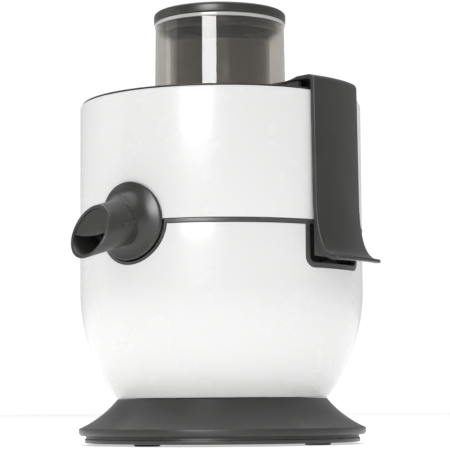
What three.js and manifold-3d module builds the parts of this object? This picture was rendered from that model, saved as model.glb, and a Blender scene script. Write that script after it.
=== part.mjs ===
// Centrifugal juicer: a round motor base, and on it a lift-off bowl with its filter basket, a lid with a
// wide feed tube, a pusher, one long latch lever and a turning spout.
// Millimetres, +Z up. The spout points along -Y, the latch is on the +X side and the knob on the -X side.
import * as THREE from "three";
import { mergeVertices } from "three/addons/utils/BufferGeometryUtils.js";
import Module from "manifold-3d";

const wasm = await Module();
wasm.setup();

// ---- Driving dimensions -------------------------------------------------------------------------

const HOUSING_FACETS = 32; // facets round the housing and everything on its axis
const SMALL_FACETS = 16; // facets round a small piece
const GAP = 0.4; // between pieces that touch
const SLIP = 0.6; // round a piece that slides or turns in another

// Housing
const BODY_RADIUS = 100; // upright part of the housing
const SHELL_WALL = 2.6;
const WAIST_RADIUS = 73.7; // where the lower shell meets the base skirt
const WAIST_HEIGHT = 32;
const BELLY_HEIGHT = 108; // where the lower shell's curve turns upright
const SEAM_HEIGHT = 147.4; // top of the lower shell, underside of the trim
const TRIM_HEIGHT = 3.2;
const TRIM_PROUD = 0.2;
const TRIM_DEPTH = 3.6;
const RIM_HEIGHT = 239.2; // top of the upper shell

// Foot of the machine
const SKIRT_RADIUS = 101;
const SKIRT_BOTTOM = 6.5;
const SKIRT_BAND = 4.9; // upright band at the skirt's edge
const SKIRT_WALL = 3;
const COVER_INSET = 4; // from the skirt's edge to the cover's edge
const COVER_THICKNESS = 2.8;
const COVER_SPIGOT = 5; // height of the ring that locates the cover in the skirt
const FOOT_RADIUS = 9;
const FOOT_HEIGHT = 1.5; // how far the feet stand out of the cover
const FOOT_RECESS = 1.2;
const FOOT_INSET = 19; // from the skirt's edge to the circle of feet and screws
const SCREW_RADIUS = 1.5;
const SCREW_HEAD_RADIUS = 3.3;
const SCREW_HEAD_HEIGHT = 1.6;
const SCREW_LENGTH = 7;
const BOSS_WALL = 3;

// Deck and drive
const DECK_DROP = 13.4; // how far the deck's top lies below the seam
const DECK_THICKNESS = 3;
const COLLAR_RISE = 2; // ring on the deck round the shaft seal
const SHAFT_RADIUS = 4;
const SHAFT_TAIL = 38; // how far the shaft hangs below the stack, for the fan
const SEAL_RADIUS = 9;
const SEAL_HEIGHT = 5;
const COUPLING_RADIUS = 12;
const COUPLING_HEIGHT = 21.5;
const COUPLING_LIFT = 4.5; // from the deck's top to the coupling's underside
const MOTOR_RADIUS = 36;
const MOTOR_DROP = 15; // from the deck's underside to the upper bracket's top face
const STACK_DROP = 12; // from the upper bracket's top face to the laminated stack
const STACK_HEIGHT = 38;
const AIR_GAP = 1;
const ARMATURE_RADIUS = 22;
const COMMUTATOR_RADIUS = 10;
const BEARING_RADIUS = 9;
const BEARING_HEIGHT = 7;
const DAMPER_CIRCLE = 26;
const DAMPER_RADIUS = 5;
const DAMPER_HEIGHT = 8;
const FAN_RADIUS = 34;
const FAN_HEIGHT = 12;
const FAN_BLADES = 8;

// Controls and services in the lower shell
const KNOB_HEIGHT = 88;
const KNOB_RADIUS = 16;
const KNOB_DEPTH = 12;
const KNOB_STEM_RADIUS = 3.5;
const KNOB_STEM_LENGTH = 16;
const SWITCH_SIZE = 26;
const SWITCH_DEPTH = 20;
const SWITCH_CLEARANCE = 2.2; // from the shell's inner face to the switch's lower edge
const KNOB_STAND = 2.2; // from the shell's wall to the knob's back
const GLAND_HEIGHT = 60; // centre of the mains inlet gland
const GLAND_RADIUS = 7;
const GLAND_BORE = 3.6;
const GLAND_FLANGE = 10;

// Bowl and basket
const BOWL_LIFT = 5; // from the deck's top to the bowl's underside
const BOWL_WALL = 2.5;
const TOWER_RADIUS = 20.5; // the bowl's chimney round the drive
const TOWER_HEIGHT = 24;
const DRUM_HEIGHT = 57; // wall between juice and pulp
const BOWL_FLANGE_HEIGHT = 21; // from the bowl's underside to the flange that carries the pulp tub
const TUB_WALL = 2;
const TUB_BELOW_RIM = 16; // from the rim to the top of the pulp tub
const BASKET_RISE = 12; // how far the basket's rim stands above the drum
const BASKET_SPREAD = 19.1; // how far the basket's rim stands out past the feed tube
const BASKET_CLEARANCE = 5.5; // between the basket's rim and the drum
const BASKET_RIM_WIDTH = 4.6;
const BASKET_RIM_HEIGHT = 3.6;
const MESH_THICKNESS = 1;
const HUB_THICKNESS = 3;
const HUB_ABOVE_FLOOR = 29; // from the bowl's underside to the hub disc
const SOCKET_DEPTH = 16.5;
const SOCKET_WALL = 4.5;
const CUTTER_THICKNESS = 1.2;
const CUTTER_TOOTH = 1.6;
const CUTTER_MARGIN = 3; // how far the cutter's hub reaches past the feed tube
const TEETH_PER_ROW = 6;

// Spout
const SPOUT_ABOVE_SEAM = 3.1;
const FLANGE_RADIUS = 26.5;
const FLANGE_EDGE = 1.9;
const SLEEVE_RADIUS = 15.7;
const SLEEVE_WALL = 2.2;
const SLEEVE_PROUD = 12.3; // from the housing to the sleeve's base
const SLEEVE_LENGTH = 28.2; // from the sleeve's base to the middle of its mouth
const SPOUT_SLOPE = 15; // degrees below level
const MOUTH_TILT = 37; // degrees between the sleeve's axis and the mouth's normal
const NECK_LENGTH = 10.5;
const SPOUT_BORE = 9;
const DUCT_WALL = 2.8;
const GASKET_THICKNESS = 1.4;
const DIP_MARGIN = 0.9; // dark slot between the flange and the trim round it
const DIP_TRIM = 1.6; // width of the trim that runs round the flange

// Lid, feed tube and pusher
const LID_INSET = 1.4; // from the housing's wall to the lid's edge
const LID_BEAD = 1; // how far the lid's bead stands above the rim
const LID_DISH = 5; // depth of the lid's dish below the rim
const LID_THICKNESS = 2.2;
const LID_SKIRT = 9;
const TUBE_RADIUS = 46.9; // outer radius where the tube leaves the lid
const TUBE_TAPER = 0.9; // how much narrower the tube is at its top
const TUBE_WALL = 2.1;
const TUBE_ABOVE_RIM = 60.6;
const TUBE_FLANGE = 7; // width of the flange that fixes the tube under the lid
const TUBE_FLANGE_HEIGHT = 3;
const CHUTE_STEP = 2.4; // how much narrower the chute is below the lid
const CHUTE_CLEARANCE = 5; // from the cutter to the chute's lower end
const PUSHER_INSET = 11.6; // how much narrower the pusher is than the feed tube
const PUSHER_WALL = 2.2;
const PUSHER_RISE = 12; // from the chute's lower end to the pusher's underside
const COLLAR_HEIGHT = 9;
const CAP_LEDGE = 0.4; // how far the cap stands out past the tube
const CAP_HEIGHT = 7;
const CAP_PLUG = 6;

// Latch
const LATCH_WIDTH = 51.5;
const LATCH_WALL = 3;
const LATCH_ABOVE_RIM = 10;
const LATCH_CORNER = 5;
const LATCH_DIP = 2.8; // how much lower the arm's top is inboard
const PIVOT_OFF_TUBE = 13.1; // from the tube to the latch's pivot line
const PIVOT_BELOW_RIM = 0.8;
const PIVOT_PIN_RADIUS = 1.8;
const KNUCKLE_RADIUS = 3.6;
const LUG_INNER = 18.6; // a lid lug's inner face, from the lever's middle
const LUG_WIDTH = 3.8;
const FLARE_ABOVE_SEAM = 17.6; // where the strap starts to flare out
const LIP_BELOW_SEAM = 25;
const LIP_PROUD = 19.5; // from the housing to the lip's edge
const LIP_THICKNESS = 2.5;
const WEB_THICKNESS = 2.5;
const NOSE_WIDTH = 24;
const NOSE_HEIGHT = 8;
const NOSE_GRIP = 0.9; // how far the nose reaches under the trim when the latch is shut
const NOSE_BELOW_SEAM = 0.7;
const NOSE_TRAVEL = 1.105; // how far the nose stands off its shut place at rest
const RECESS_HEIGHT = 25.4; // from the recess's floor to the seam
const RECESS_DEPTH = 14;
const RECESS_MARGIN = 1.2; // from the lever's side to the recess's side
const RECESS_CORNER = 4;
const BEZEL = 3;
const POCKET_WALL = 2;
const PLUNGER_RADIUS = 2;
const PLUNGER_DROP = 4.5; // from the deck's underside to the plunger's axis

// ---- Levels and radii worked out from the dimensions --------------------------------------------

const shellInside = BODY_RADIUS - SHELL_WALL;
const trimTop = SEAM_HEIGHT + TRIM_HEIGHT;
const trimRadius = BODY_RADIUS + TRIM_PROUD;
const trimInside = trimRadius - TRIM_DEPTH;
const coverRadius = SKIRT_RADIUS - COVER_INSET;
const footCircle = SKIRT_RADIUS - FOOT_INSET;
const coverTop = FOOT_HEIGHT + COVER_THICKNESS;
const bandTop = SKIRT_BOTTOM + SKIRT_BAND;
const deckTop = SEAM_HEIGHT - DECK_DROP;
const deckBottom = deckTop - DECK_THICKNESS;
const deckRadius = trimInside - GAP;
const motorTop = deckBottom - MOTOR_DROP; // top face of the upper bracket
const stackTop = motorTop - STACK_DROP;
const stackBottom = stackTop - STACK_HEIGHT;
const shaftBottom = stackBottom - SHAFT_TAIL;
const couplingBottom = deckTop + COUPLING_LIFT;
const couplingTop = couplingBottom + COUPLING_HEIGHT;
const bowlBottom = deckTop + BOWL_LIFT;
const bowlFlange = bowlBottom + BOWL_FLANGE_HEIGHT;
const drumTop = bowlBottom + DRUM_HEIGHT;
const hubTop = bowlBottom + HUB_ABOVE_FLOOR + HUB_THICKNESS;
const cutterTop = hubTop + GAP + CUTTER_THICKNESS;
const hubRadius = TUBE_RADIUS + CUTTER_MARGIN;
const basketTop = drumTop + BASKET_RISE;
const basketRadius = TUBE_RADIUS + BASKET_SPREAD;
const drumRadius = basketRadius + BASKET_CLEARANCE + BOWL_WALL;
const tubRadius = shellInside - 2 * GAP - BOWL_WALL;
const tubBottom = bowlFlange + BOWL_WALL + GAP;
const tubTop = RIM_HEIGHT - TUB_BELOW_RIM;
const lidRadius = BODY_RADIUS - LID_INSET;
const tubeTop = RIM_HEIGHT + TUBE_ABOVE_RIM;
const capRadius = TUBE_RADIUS + CAP_LEDGE;
const dishTop = RIM_HEIGHT - LID_DISH;
const dishBottom = dishTop - LID_THICKNESS;
const chuteBottom = cutterTop + CHUTE_CLEARANCE;
const pusherBottom = chuteBottom + PUSHER_RISE;
const pusherRadius = TUBE_RADIUS - PUSHER_INSET;
const collarRadius = TUBE_RADIUS - TUBE_TAPER - TUBE_WALL - SLIP;
const spoutHeight = SEAM_HEIGHT + SPOUT_ABOVE_SEAM;
const sleeveReach = BODY_RADIUS + SLEEVE_PROUD;
const dipRadius = FLANGE_RADIUS + DIP_MARGIN;
const recessBottom = SEAM_HEIGHT - RECESS_HEIGHT;
const recessHalfWidth = LATCH_WIDTH / 2 + RECESS_MARGIN;
const latchTop = RIM_HEIGHT + LATCH_ABOVE_RIM;
const noseTop = SEAM_HEIGHT - NOSE_BELOW_SEAM;
const flareStart = SEAM_HEIGHT + FLARE_ABOVE_SEAM;
const lipHeight = SEAM_HEIGHT - LIP_BELOW_SEAM;
const lipReach = BODY_RADIUS + LIP_PROUD;
const pivotReach = TUBE_RADIUS + PIVOT_OFF_TUBE;
const pivotHeight = RIM_HEIGHT - PIVOT_BELOW_RIM;
const latchAjar = Math.asin(NOSE_TRAVEL / (pivotHeight - noseTop));
const pocketBack = BODY_RADIUS - RECESS_DEPTH;
const plungerHeight = deckBottom - PLUNGER_DROP;

// The lower shell's curve is one arc that runs from the waist to the belly, where it is upright.
const bellyDrop = BODY_RADIUS - WAIST_RADIUS;
const bellyRise = BELLY_HEIGHT - WAIST_HEIGHT;
const bellyArc = (bellyRise ** 2 + bellyDrop ** 2) / (2 * bellyDrop);
const shellRadiusAt = (height) =>
  BODY_RADIUS - bellyArc + Math.sqrt(bellyArc ** 2 - (BELLY_HEIGHT - height) ** 2);

// ---- Finishes -----------------------------------------------------------------------------------

const finish = (color, roughness, metalness = 0) => ({ color, roughness, metalness });
const WHITE_PLASTIC = finish(0xeeeeec, 0.3);
const GREY_PLASTIC = finish(0x464644, 0.45);
const SATIN_BLACK = finish(0x2e2e2d, 0.5);
const SMOKED = finish(0xa8a49e, 0.12);
const DARK_SMOKED = finish(0x6a6866, 0.2);
const MILKY = finish(0xd8d8d4, 0.35);
const SOFT_RUBBER = finish(0x262626, 0.9);
const STEEL = finish(0xc4c6c8, 0.28, 1);
const LAMINATION = finish(0x7c8084, 0.5, 1);
const COPPER = finish(0xb06a3c, 0.35, 1);
const ALUMINIUM = finish(0xb4b7ba, 0.4, 1);

// ---- Tools for shapes ---------------------------------------------------------------------------

const radians = THREE.MathUtils.degToRad;

// A closed geometry as a manifold-3d solid, with its shared vertices merged.
function solid(geometry) {
  const bare = new THREE.BufferGeometry().setAttribute("position", geometry.getAttribute("position"));
  bare.setIndex(geometry.index);
  const merged = mergeVertices(bare, 1e-3);
  return new wasm.Manifold(
    new wasm.Mesh({
      numProp: 3,
      vertProperties: merged.attributes.position.array,
      triVerts: new Uint32Array(merged.index.array),
    }),
  );
}

function geometryOf(body) {
  const mesh = body.getMesh();
  const geometry = new THREE.BufferGeometry();
  geometry.setAttribute("position", new THREE.BufferAttribute(new Float32Array(mesh.vertProperties), 3));
  geometry.setIndex(new THREE.BufferAttribute(new Uint32Array(mesh.triVerts), 1));
  geometry.computeVertexNormals();
  return geometry;
}

const cut = (base, ...tools) =>
  geometryOf(tools.reduce((left, tool) => left.subtract(solid(tool)), solid(base)));
const join = (base, ...pieces) =>
  geometryOf(pieces.reduce((whole, piece) => whole.add(solid(piece)), solid(base)));
const common = (base, other) => geometryOf(solid(base).intersect(solid(other)));

// Turns an outline of [radius, height] points about the Z axis. It starts and ends on the axis, or closes.
function revolve(outline, facets = HOUSING_FACETS) {
  const points = outline.map(([radius, height]) => new THREE.Vector2(radius, height));
  if (THREE.ShapeUtils.area(points) < 0) points.reverse();
  if (points[0].x > 0) points.push(points[0].clone());
  return new THREE.LatheGeometry(points, facets).rotateX(Math.PI / 2);
}

const post = (radius, from, to, facets = SMALL_FACETS) =>
  revolve([[0, from], [radius, from], [radius, to], [0, to]], facets);
const ring = (outer, inner, from, to, facets = HOUSING_FACETS) =>
  revolve([[inner, from], [outer, from], [outer, to], [inner, to]], facets);

function block([x0, x1], [y0, y1], [z0, z1]) {
  const box = new THREE.BoxGeometry(x1 - x0, y1 - y0, z1 - z0);
  return box.translate((x0 + x1) / 2, (y0 + y1) / 2, (z0 + z1) / 2);
}

// Points of a curve as [x, y] pairs.
const along = (curve, steps) => curve.getPoints(steps).map(({ x, y }) => [x, y]);
const arc = (x, y, radius, from, to, steps) =>
  along(new THREE.EllipseCurve(x, y, radius, radius, radians(from), radians(to), to < from), steps);
const bend = (from, control, to, steps) =>
  along(
    new THREE.QuadraticBezierCurve(
      new THREE.Vector2(...from),
      new THREE.Vector2(...control),
      new THREE.Vector2(...to),
    ),
    steps,
  );

// Joins rings of points, each with as many points as the last, into one closed tube-like skin.
function loft(rings) {
  const count = rings[0].length;
  const index = [];
  rings.forEach((_, ringAt) => {
    const next = (ringAt + 1) % rings.length;
    for (let i = 0; i < count; i++) {
      const j = (i + 1) % count;
      index.push(ringAt * count + i, ringAt * count + j, next * count + j);
      index.push(ringAt * count + i, next * count + j, next * count + i);
    }
  });
  const geometry = new THREE.BufferGeometry().setFromPoints(rings.flat());
  geometry.setIndex(index);
  geometry.computeVertexNormals();
  return geometry;
}

// ---- The assembly: one group for each body that moves ------------------------------------------

const juicer = new THREE.Group();
const bodyGroup = () => {
  const group = new THREE.Group();
  juicer.add(group);
  return group;
};
const base = bodyGroup();
const knob = bodyGroup();
const interlock = bodyGroup();
const rotor = bodyGroup();
const bowl = bodyGroup();
const basket = bodyGroup();
const nozzle = bodyGroup();
const lid = bodyGroup();
const latch = bodyGroup();
const pusher = bodyGroup();

function add(group, name, geometry, look) {
  const mesh = new THREE.Mesh(geometry, new THREE.MeshStandardMaterial(look));
  mesh.name = name;
  group.add(mesh);
  return mesh;
}

// Calls make(angle, number) for count places spaced evenly round the axis.
function spaced(count, startAngle, make) {
  for (let i = 0; i < count; i++) make(radians(startAngle + (360 / count) * i), i + 1);
}
const onCircle = (geometry, radius, angle) =>
  geometry.translate(radius * Math.cos(angle), radius * Math.sin(angle), 0);

// ---- Cutters that the shells, the trim and the deck share ---------------------------------------

// The round dip in the seam that takes the lower half of the spout's flange.
const spoutDip = (radius) =>
  post(radius, BODY_RADIUS - 34, BODY_RADIUS + 10, HOUSING_FACETS)
    .rotateX(Math.PI / 2)
    .translate(0, 0, spoutHeight);

// The recess below the latch: a rectangle with round lower corners, outset on its sides and floor.
function latchDip(outset, from, top) {
  const side = recessHalfWidth + outset;
  const floor = recessBottom - outset;
  const corner = RECESS_CORNER + outset;
  const outline = new THREE.Shape();
  outline.moveTo(-side, top);
  outline.lineTo(-side, floor + corner);
  outline.absarc(-side + corner, floor + corner, corner, Math.PI, 1.5 * Math.PI);
  outline.absarc(side - corner, floor + corner, corner, 1.5 * Math.PI, 2 * Math.PI);
  outline.lineTo(side, top);
  const depth = BODY_RADIUS + 10 - from;
  const prism = new THREE.ExtrudeGeometry(outline, { depth, bevelEnabled: false, curveSegments: 4 });
  return prism.rotateX(Math.PI / 2).rotateZ(Math.PI / 2).translate(from, 0, 0);
}

// ---- Foot of the machine ------------------------------------------------------------------------

function makeSkirt() {
  const sweep = (outer, low, inner, high) =>
    bend([outer, low], [inner + 0.4 * (outer - inner), low + 0.36 * (high - low)], [inner, high], 4);
  const outside = sweep(SKIRT_RADIUS, bandTop, WAIST_RADIUS, WAIST_HEIGHT);
  const inside = sweep(
    SKIRT_RADIUS - SKIRT_WALL,
    bandTop - SKIRT_WALL / 2,
    WAIST_RADIUS - SKIRT_WALL,
    WAIST_HEIGHT,
  );
  const outline = [
    [SKIRT_RADIUS - SKIRT_WALL, SKIRT_BOTTOM],
    [SKIRT_RADIUS - 0.5, SKIRT_BOTTOM],
    ...outside,
    ...inside.reverse(),
  ];
  // The bosses for the cover's screws grow down from the skirt's inner face.
  const filled = revolve([[0, 0], [SKIRT_RADIUS - 0.5, 0], ...outside, [0, WAIST_HEIGHT]]);
  let skirt = revolve(outline);
  spaced(4, 45, (angle) => {
    const boss = post(SCREW_RADIUS + BOSS_WALL, coverTop + GAP, WAIST_HEIGHT, 12);
    const pilot = post(SCREW_RADIUS + GAP, 0, coverTop + SCREW_LENGTH, 12);
    const grown = join(skirt, common(onCircle(boss, footCircle, angle), filled));
    skirt = cut(grown, onCircle(pilot, footCircle, angle));
  });
  add(base, "base_skirt", skirt, GREY_PLASTIC);
}

function makeBottomCover() {
  const spigot = SKIRT_RADIUS - SKIRT_WALL - 3 * SLIP;
  let cover = revolve([
    [0, FOOT_HEIGHT],
    [coverRadius, FOOT_HEIGHT],
    [coverRadius, coverTop],
    [spigot, coverTop],
    [spigot, coverTop + COVER_SPIGOT],
    [spigot - SKIRT_WALL, coverTop + COVER_SPIGOT],
    [spigot - SKIRT_WALL, coverTop],
    [0, coverTop],
  ]);
  const below = FOOT_HEIGHT - 1;
  spaced(4, 0, (angle) => {
    const recess = post(FOOT_RADIUS + GAP, below, FOOT_HEIGHT + FOOT_RECESS);
    cover = cut(cover, onCircle(recess, footCircle, angle));
  });
  spaced(4, 45, (angle) => {
    const counterbore = post(SCREW_HEAD_RADIUS + GAP, below, FOOT_HEIGHT + SCREW_HEAD_HEIGHT, 12);
    const hole = post(SCREW_RADIUS + GAP, below, coverTop + 1, 12);
    cover = cut(cover, onCircle(counterbore, footCircle, angle), onCircle(hole, footCircle, angle));
  });
  spaced(8, 22.5, (angle) => {
    const slot = block([FAN_RADIUS / 2, FAN_RADIUS + 14], [-1.5, 1.5], [below, coverTop + 1]);
    cover = cut(cover, slot.rotateZ(angle));
  });
  add(base, "bottom_cover", cover, SATIN_BLACK);
}

function makeFeet() {
  spaced(4, 0, (angle, number) => {
    const foot = revolve([
      [0, 0],
      [FOOT_RADIUS - 1, 0],
      [FOOT_RADIUS, 1],
      [FOOT_RADIUS, FOOT_HEIGHT + FOOT_RECESS - GAP],
      [0, FOOT_HEIGHT + FOOT_RECESS - GAP],
    ], SMALL_FACETS);
    add(base, `rubber_foot_${number}`, onCircle(foot, footCircle, angle), SOFT_RUBBER);
  });
}

function makeCoverScrews() {
  const underHead = FOOT_HEIGHT + SCREW_HEAD_HEIGHT - GAP;
  spaced(4, 45, (angle, number) => {
    const screw = revolve([
      [0, FOOT_HEIGHT + 0.2],
      [SCREW_HEAD_RADIUS, FOOT_HEIGHT + 0.2],
      [SCREW_HEAD_RADIUS, underHead],
      [SCREW_RADIUS, underHead],
      [SCREW_RADIUS, underHead + SCREW_LENGTH],
      [0, underHead + SCREW_LENGTH],
    ], 12);
    add(base, `cover_screw_${number}`, onCircle(screw, footCircle, angle), STEEL);
  });
}

// ---- Lower shell, trim and recess ---------------------------------------------------------------

const glandTilt = Math.asin((BELLY_HEIGHT - GLAND_HEIGHT) / bellyArc);
const glandReach = shellRadiusAt(GLAND_HEIGHT);

// Lays a piece made along +Z onto the shell's back, square to its curved wall.
const atGland = (geometry) =>
  geometry.rotateX(-Math.PI / 2 - glandTilt).translate(0, glandReach, GLAND_HEIGHT);

// Lays a piece made along +Z onto the knob's axis, its +Z pointing out of the housing.
const atKnob = (geometry) =>
  geometry.rotateY(-Math.PI / 2).translate(-shellRadiusAt(KNOB_HEIGHT), 0, KNOB_HEIGHT);

function makeLowerShell() {
  const centre = BODY_RADIUS - bellyArc;
  const bottom = WAIST_HEIGHT + GAP;
  const wallArc = (radius) => {
    const start = -THREE.MathUtils.radToDeg(Math.asin((BELLY_HEIGHT - bottom) / radius));
    return arc(centre, BELLY_HEIGHT, radius, start, 0, 5);
  };
  const top = SEAM_HEIGHT - GAP;
  const shell = revolve([
    ...wallArc(bellyArc),
    [BODY_RADIUS, top],
    [shellInside, top],
    ...wallArc(bellyArc - SHELL_WALL).reverse(),
  ]);
  const opened = cut(
    shell,
    spoutDip(dipRadius + DIP_TRIM + GAP),
    latchDip(BEZEL + GAP, pocketBack, trimTop + 10),
    atKnob(post(KNOB_STEM_RADIUS + SLIP, -10, 10, 12)),
    atGland(post(GLAND_RADIUS + GAP, -10, 10)),
  );
  add(base, "lower_shell", opened, WHITE_PLASTIC);
}

// The trim caps the lower shell, runs down round the recess and under the spout's flange.
// A bar of it crosses the top of the recess, and the latch's nose grips under that bar.
function makeTrim() {
  const lowest = recessBottom - BEZEL - 1;
  const band = ring(trimRadius, trimInside, lowest, trimTop);
  const outside = join(
    ring(trimRadius + 1, trimInside - 1, SEAM_HEIGHT, trimTop + 1),
    spoutDip(dipRadius + DIP_TRIM),
    latchDip(BEZEL, pocketBack, SEAM_HEIGHT + 1),
  );
  const trim = cut(
    common(band, outside),
    spoutDip(dipRadius),
    latchDip(0, pocketBack, SEAM_HEIGHT),
  );
  add(base, "rim_trim", trim, SATIN_BLACK);
}

function makeLatchPocket() {
  const top = SEAM_HEIGHT - GAP;
  const outer = latchDip(POCKET_WALL, pocketBack - POCKET_WALL, top);
  const hollow = latchDip(0, pocketBack, top - POCKET_WALL);
  const inside = post(trimInside - GAP, recessBottom - 10, top + 1, HOUSING_FACETS);
  const hole = post(PLUNGER_RADIUS + SLIP, pocketBack - 10, pocketBack + 10, 12)
    .rotateY(Math.PI / 2)
    .translate(0, 0, plungerHeight);
  add(base, "latch_pocket", cut(common(outer, inside), hollow, hole), SATIN_BLACK);
}

function makeDeck() {
  const wall = BOWL_WALL;
  const hubRing = SEAL_RADIUS + GAP;
  let deck = revolve([
    [hubRing, deckBottom],
    [deckRadius, deckBottom],
    [deckRadius, SEAM_HEIGHT - 1],
    [deckRadius - wall, SEAM_HEIGHT - 1],
    [deckRadius - wall, deckTop],
    [hubRing + wall, deckTop],
    [hubRing + wall, deckTop + COLLAR_RISE],
    [hubRing, deckTop + COLLAR_RISE],
  ]);
  spaced(3, 90, (angle) => {
    const boss = post(DAMPER_RADIUS + 1, motorTop + DAMPER_HEIGHT + 2 * GAP, deckBottom + 1);
    deck = join(deck, onCircle(boss, DAMPER_CIRCLE, angle));
  });
  const opened = cut(
    deck,
    spoutDip(dipRadius + DIP_TRIM + GAP),
    latchDip(POCKET_WALL + GAP, pocketBack - POCKET_WALL - GAP, trimTop),
  );
  add(base, "top_deck", opened, GREY_PLASTIC);
}

// ---- Motor and drive ----------------------------------------------------------------------------

const coilInner = ARMATURE_RADIUS + AIR_GAP + 2;
const coilOuter = MOTOR_RADIUS - 4;
const bracketSkirt = 8; // height of the ring with which a bracket stands on the stack
const bracketPlate = 4;
const topPlate = motorTop - bracketPlate;
const bottomPlate = stackBottom - bracketSkirt - bracketPlate - GAP;
const boreRadius = SHAFT_RADIUS + GAP;

// A cup-like bracket about a bearing seat: skirt towards the stack, plate away from it.
function bracket(plateFrom, skirtTo) {
  const plateTo = plateFrom + bracketPlate;
  const seat = BEARING_RADIUS + GAP;
  const up = skirtTo > plateTo;
  const face = up ? plateTo : plateFrom;
  const back = up ? plateFrom : plateTo;
  return revolve([
    [seat, back],
    [MOTOR_RADIUS, back],
    [MOTOR_RADIUS, skirtTo],
    [MOTOR_RADIUS - 2.5, skirtTo],
    [MOTOR_RADIUS - 2.5, face],
    [seat, face],
  ], SMALL_FACETS);
}

function makeMotor() {
  const stack = cut(
    post(MOTOR_RADIUS + 3, stackBottom, stackTop, 8).rotateZ(Math.PI / 8),
    post(ARMATURE_RADIUS + AIR_GAP, stackBottom - 1, stackTop + 1),
  );
  add(base, "stator_stack", stack, LAMINATION);
  add(base, "motor_top_bracket", bracket(topPlate, stackTop + GAP), ALUMINIUM);
  add(base, "motor_bottom_bracket", bracket(bottomPlate, stackBottom - GAP), ALUMINIUM);
  const coil = (from, to) => ring(coilOuter, coilInner, from, to, SMALL_FACETS);
  add(base, "field_coil_top", coil(stackTop + GAP, topPlate - 2), COPPER);
  add(base, "field_coil_bottom", coil(stackBottom - 4, stackBottom - GAP), COPPER);
  const bearing = (from) => ring(BEARING_RADIUS, boreRadius, from, from + BEARING_HEIGHT, SMALL_FACETS);
  add(base, "upper_bearing", bearing(topPlate - 1), STEEL);
  add(base, "lower_bearing", bearing(bottomPlate - 3), STEEL);
  [["left", -1], ["right", 1]].forEach(([side, sign]) => {
    const span = [sign * (COMMUTATOR_RADIUS + SLIP), sign * (coilOuter - 1)].sort((a, b) => a - b);
    const height = bottomPlate + bracketPlate + GAP;
    add(base, `brush_holder_${side}`, block(span, [-4, 4], [height, stackBottom - 4.5]), SATIN_BLACK);
  });
  spaced(3, 90, (angle, number) => {
    const damper = post(DAMPER_RADIUS, motorTop + GAP, motorTop + GAP + DAMPER_HEIGHT);
    add(base, `motor_damper_${number}`, onCircle(damper, DAMPER_CIRCLE, angle), SOFT_RUBBER);
  });
  const seal = ring(SEAL_RADIUS, boreRadius, deckBottom, deckBottom + SEAL_HEIGHT, SMALL_FACETS);
  add(base, "shaft_seal", seal, SOFT_RUBBER);
}

function makeRotor() {
  const shaftTop = couplingTop - 4;
  add(rotor, "motor_shaft", post(SHAFT_RADIUS, shaftBottom, shaftTop, 16), STEEL);
  const armature = ring(ARMATURE_RADIUS, boreRadius, stackBottom + 1, stackTop - 1, SMALL_FACETS);
  add(rotor, "armature", armature, LAMINATION);
  const contact = bottomPlate + bracketPlate + GAP;
  add(rotor, "commutator", ring(COMMUTATOR_RADIUS, boreRadius, contact, contact + 8, SMALL_FACETS), COPPER);
  const fanBottom = shaftBottom + 2;
  const fanTop = fanBottom + FAN_HEIGHT;
  let fan = join(
    ring(SHAFT_RADIUS + 5, boreRadius, fanBottom, fanTop, SMALL_FACETS),
    ring(FAN_RADIUS, boreRadius, fanTop - 2, fanTop, SMALL_FACETS),
  );
  spaced(FAN_BLADES, 0, (angle) => {
    const blade = block([SHAFT_RADIUS + 4, FAN_RADIUS - 1], [-1, 1], [fanBottom, fanTop - 1]);
    fan = join(fan, blade.rotateZ(angle));
  });
  add(rotor, "cooling_fan", fan, SATIN_BLACK);
  const coupling = cut(
    post(COUPLING_RADIUS, couplingBottom, couplingTop, 6),
    post(boreRadius, couplingBottom - 1, shaftTop + GAP, 16),
  );
  add(rotor, "drive_coupling", coupling, STEEL);
}

// ---- Knob, switch, interlock and mains inlet ----------------------------------------------------

// The shell curves in below the knob, so the switch stands back by as much as its lower edge needs.
const curveIn = shellRadiusAt(KNOB_HEIGHT - SWITCH_SIZE / 2) - shellRadiusAt(KNOB_HEIGHT);
const switchFront = curveIn - SHELL_WALL - SWITCH_CLEARANCE;

function makeKnob() {
  const top = KNOB_STAND + KNOB_DEPTH;
  const dial = revolve([
    [0, -KNOB_STEM_LENGTH],
    [KNOB_STEM_RADIUS, -KNOB_STEM_LENGTH],
    [KNOB_STEM_RADIUS, KNOB_STAND],
    [KNOB_RADIUS, KNOB_STAND],
    [KNOB_RADIUS, KNOB_STAND + 3],
    [KNOB_RADIUS - 2, KNOB_STAND + 4],
    [KNOB_RADIUS - 3, top - 1],
    [KNOB_RADIUS - 4, top],
    [0, top],
  ], 32);
  const pointer = block([2, KNOB_RADIUS - 4.5], [-0.8, 0.8], [top - 1, top + 0.6]);
  add(knob, "control_knob", atKnob(join(dial, pointer)), GREY_PLASTIC);
  const half = SWITCH_SIZE / 2;
  const housing = cut(
    block([-half, half], [-half, half], [switchFront - SWITCH_DEPTH, switchFront]),
    post(KNOB_STEM_RADIUS + SLIP, -KNOB_STEM_LENGTH - 1, 0, 12),
  );
  add(base, "rotary_switch", atKnob(housing), SATIN_BLACK);
}

function makeInterlock() {
  const tip = trimRadius - NOSE_GRIP - 0.6;
  const rear = pocketBack - 12;
  const lay = (geometry) => geometry.rotateY(Math.PI / 2).translate(0, 0, plungerHeight);
  add(interlock, "interlock_plunger", lay(post(PLUNGER_RADIUS, rear, tip, 12)), GREY_PLASTIC);
  const face = pocketBack - POCKET_WALL - 1;
  const housing = cut(
    block([face - 20, face], [-8, 8], [plungerHeight - 6, deckBottom - GAP]),
    lay(post(PLUNGER_RADIUS + SLIP, rear - 4, face + 1, 12)),
  );
  add(base, "interlock_switch", housing, SATIN_BLACK);
}

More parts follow.
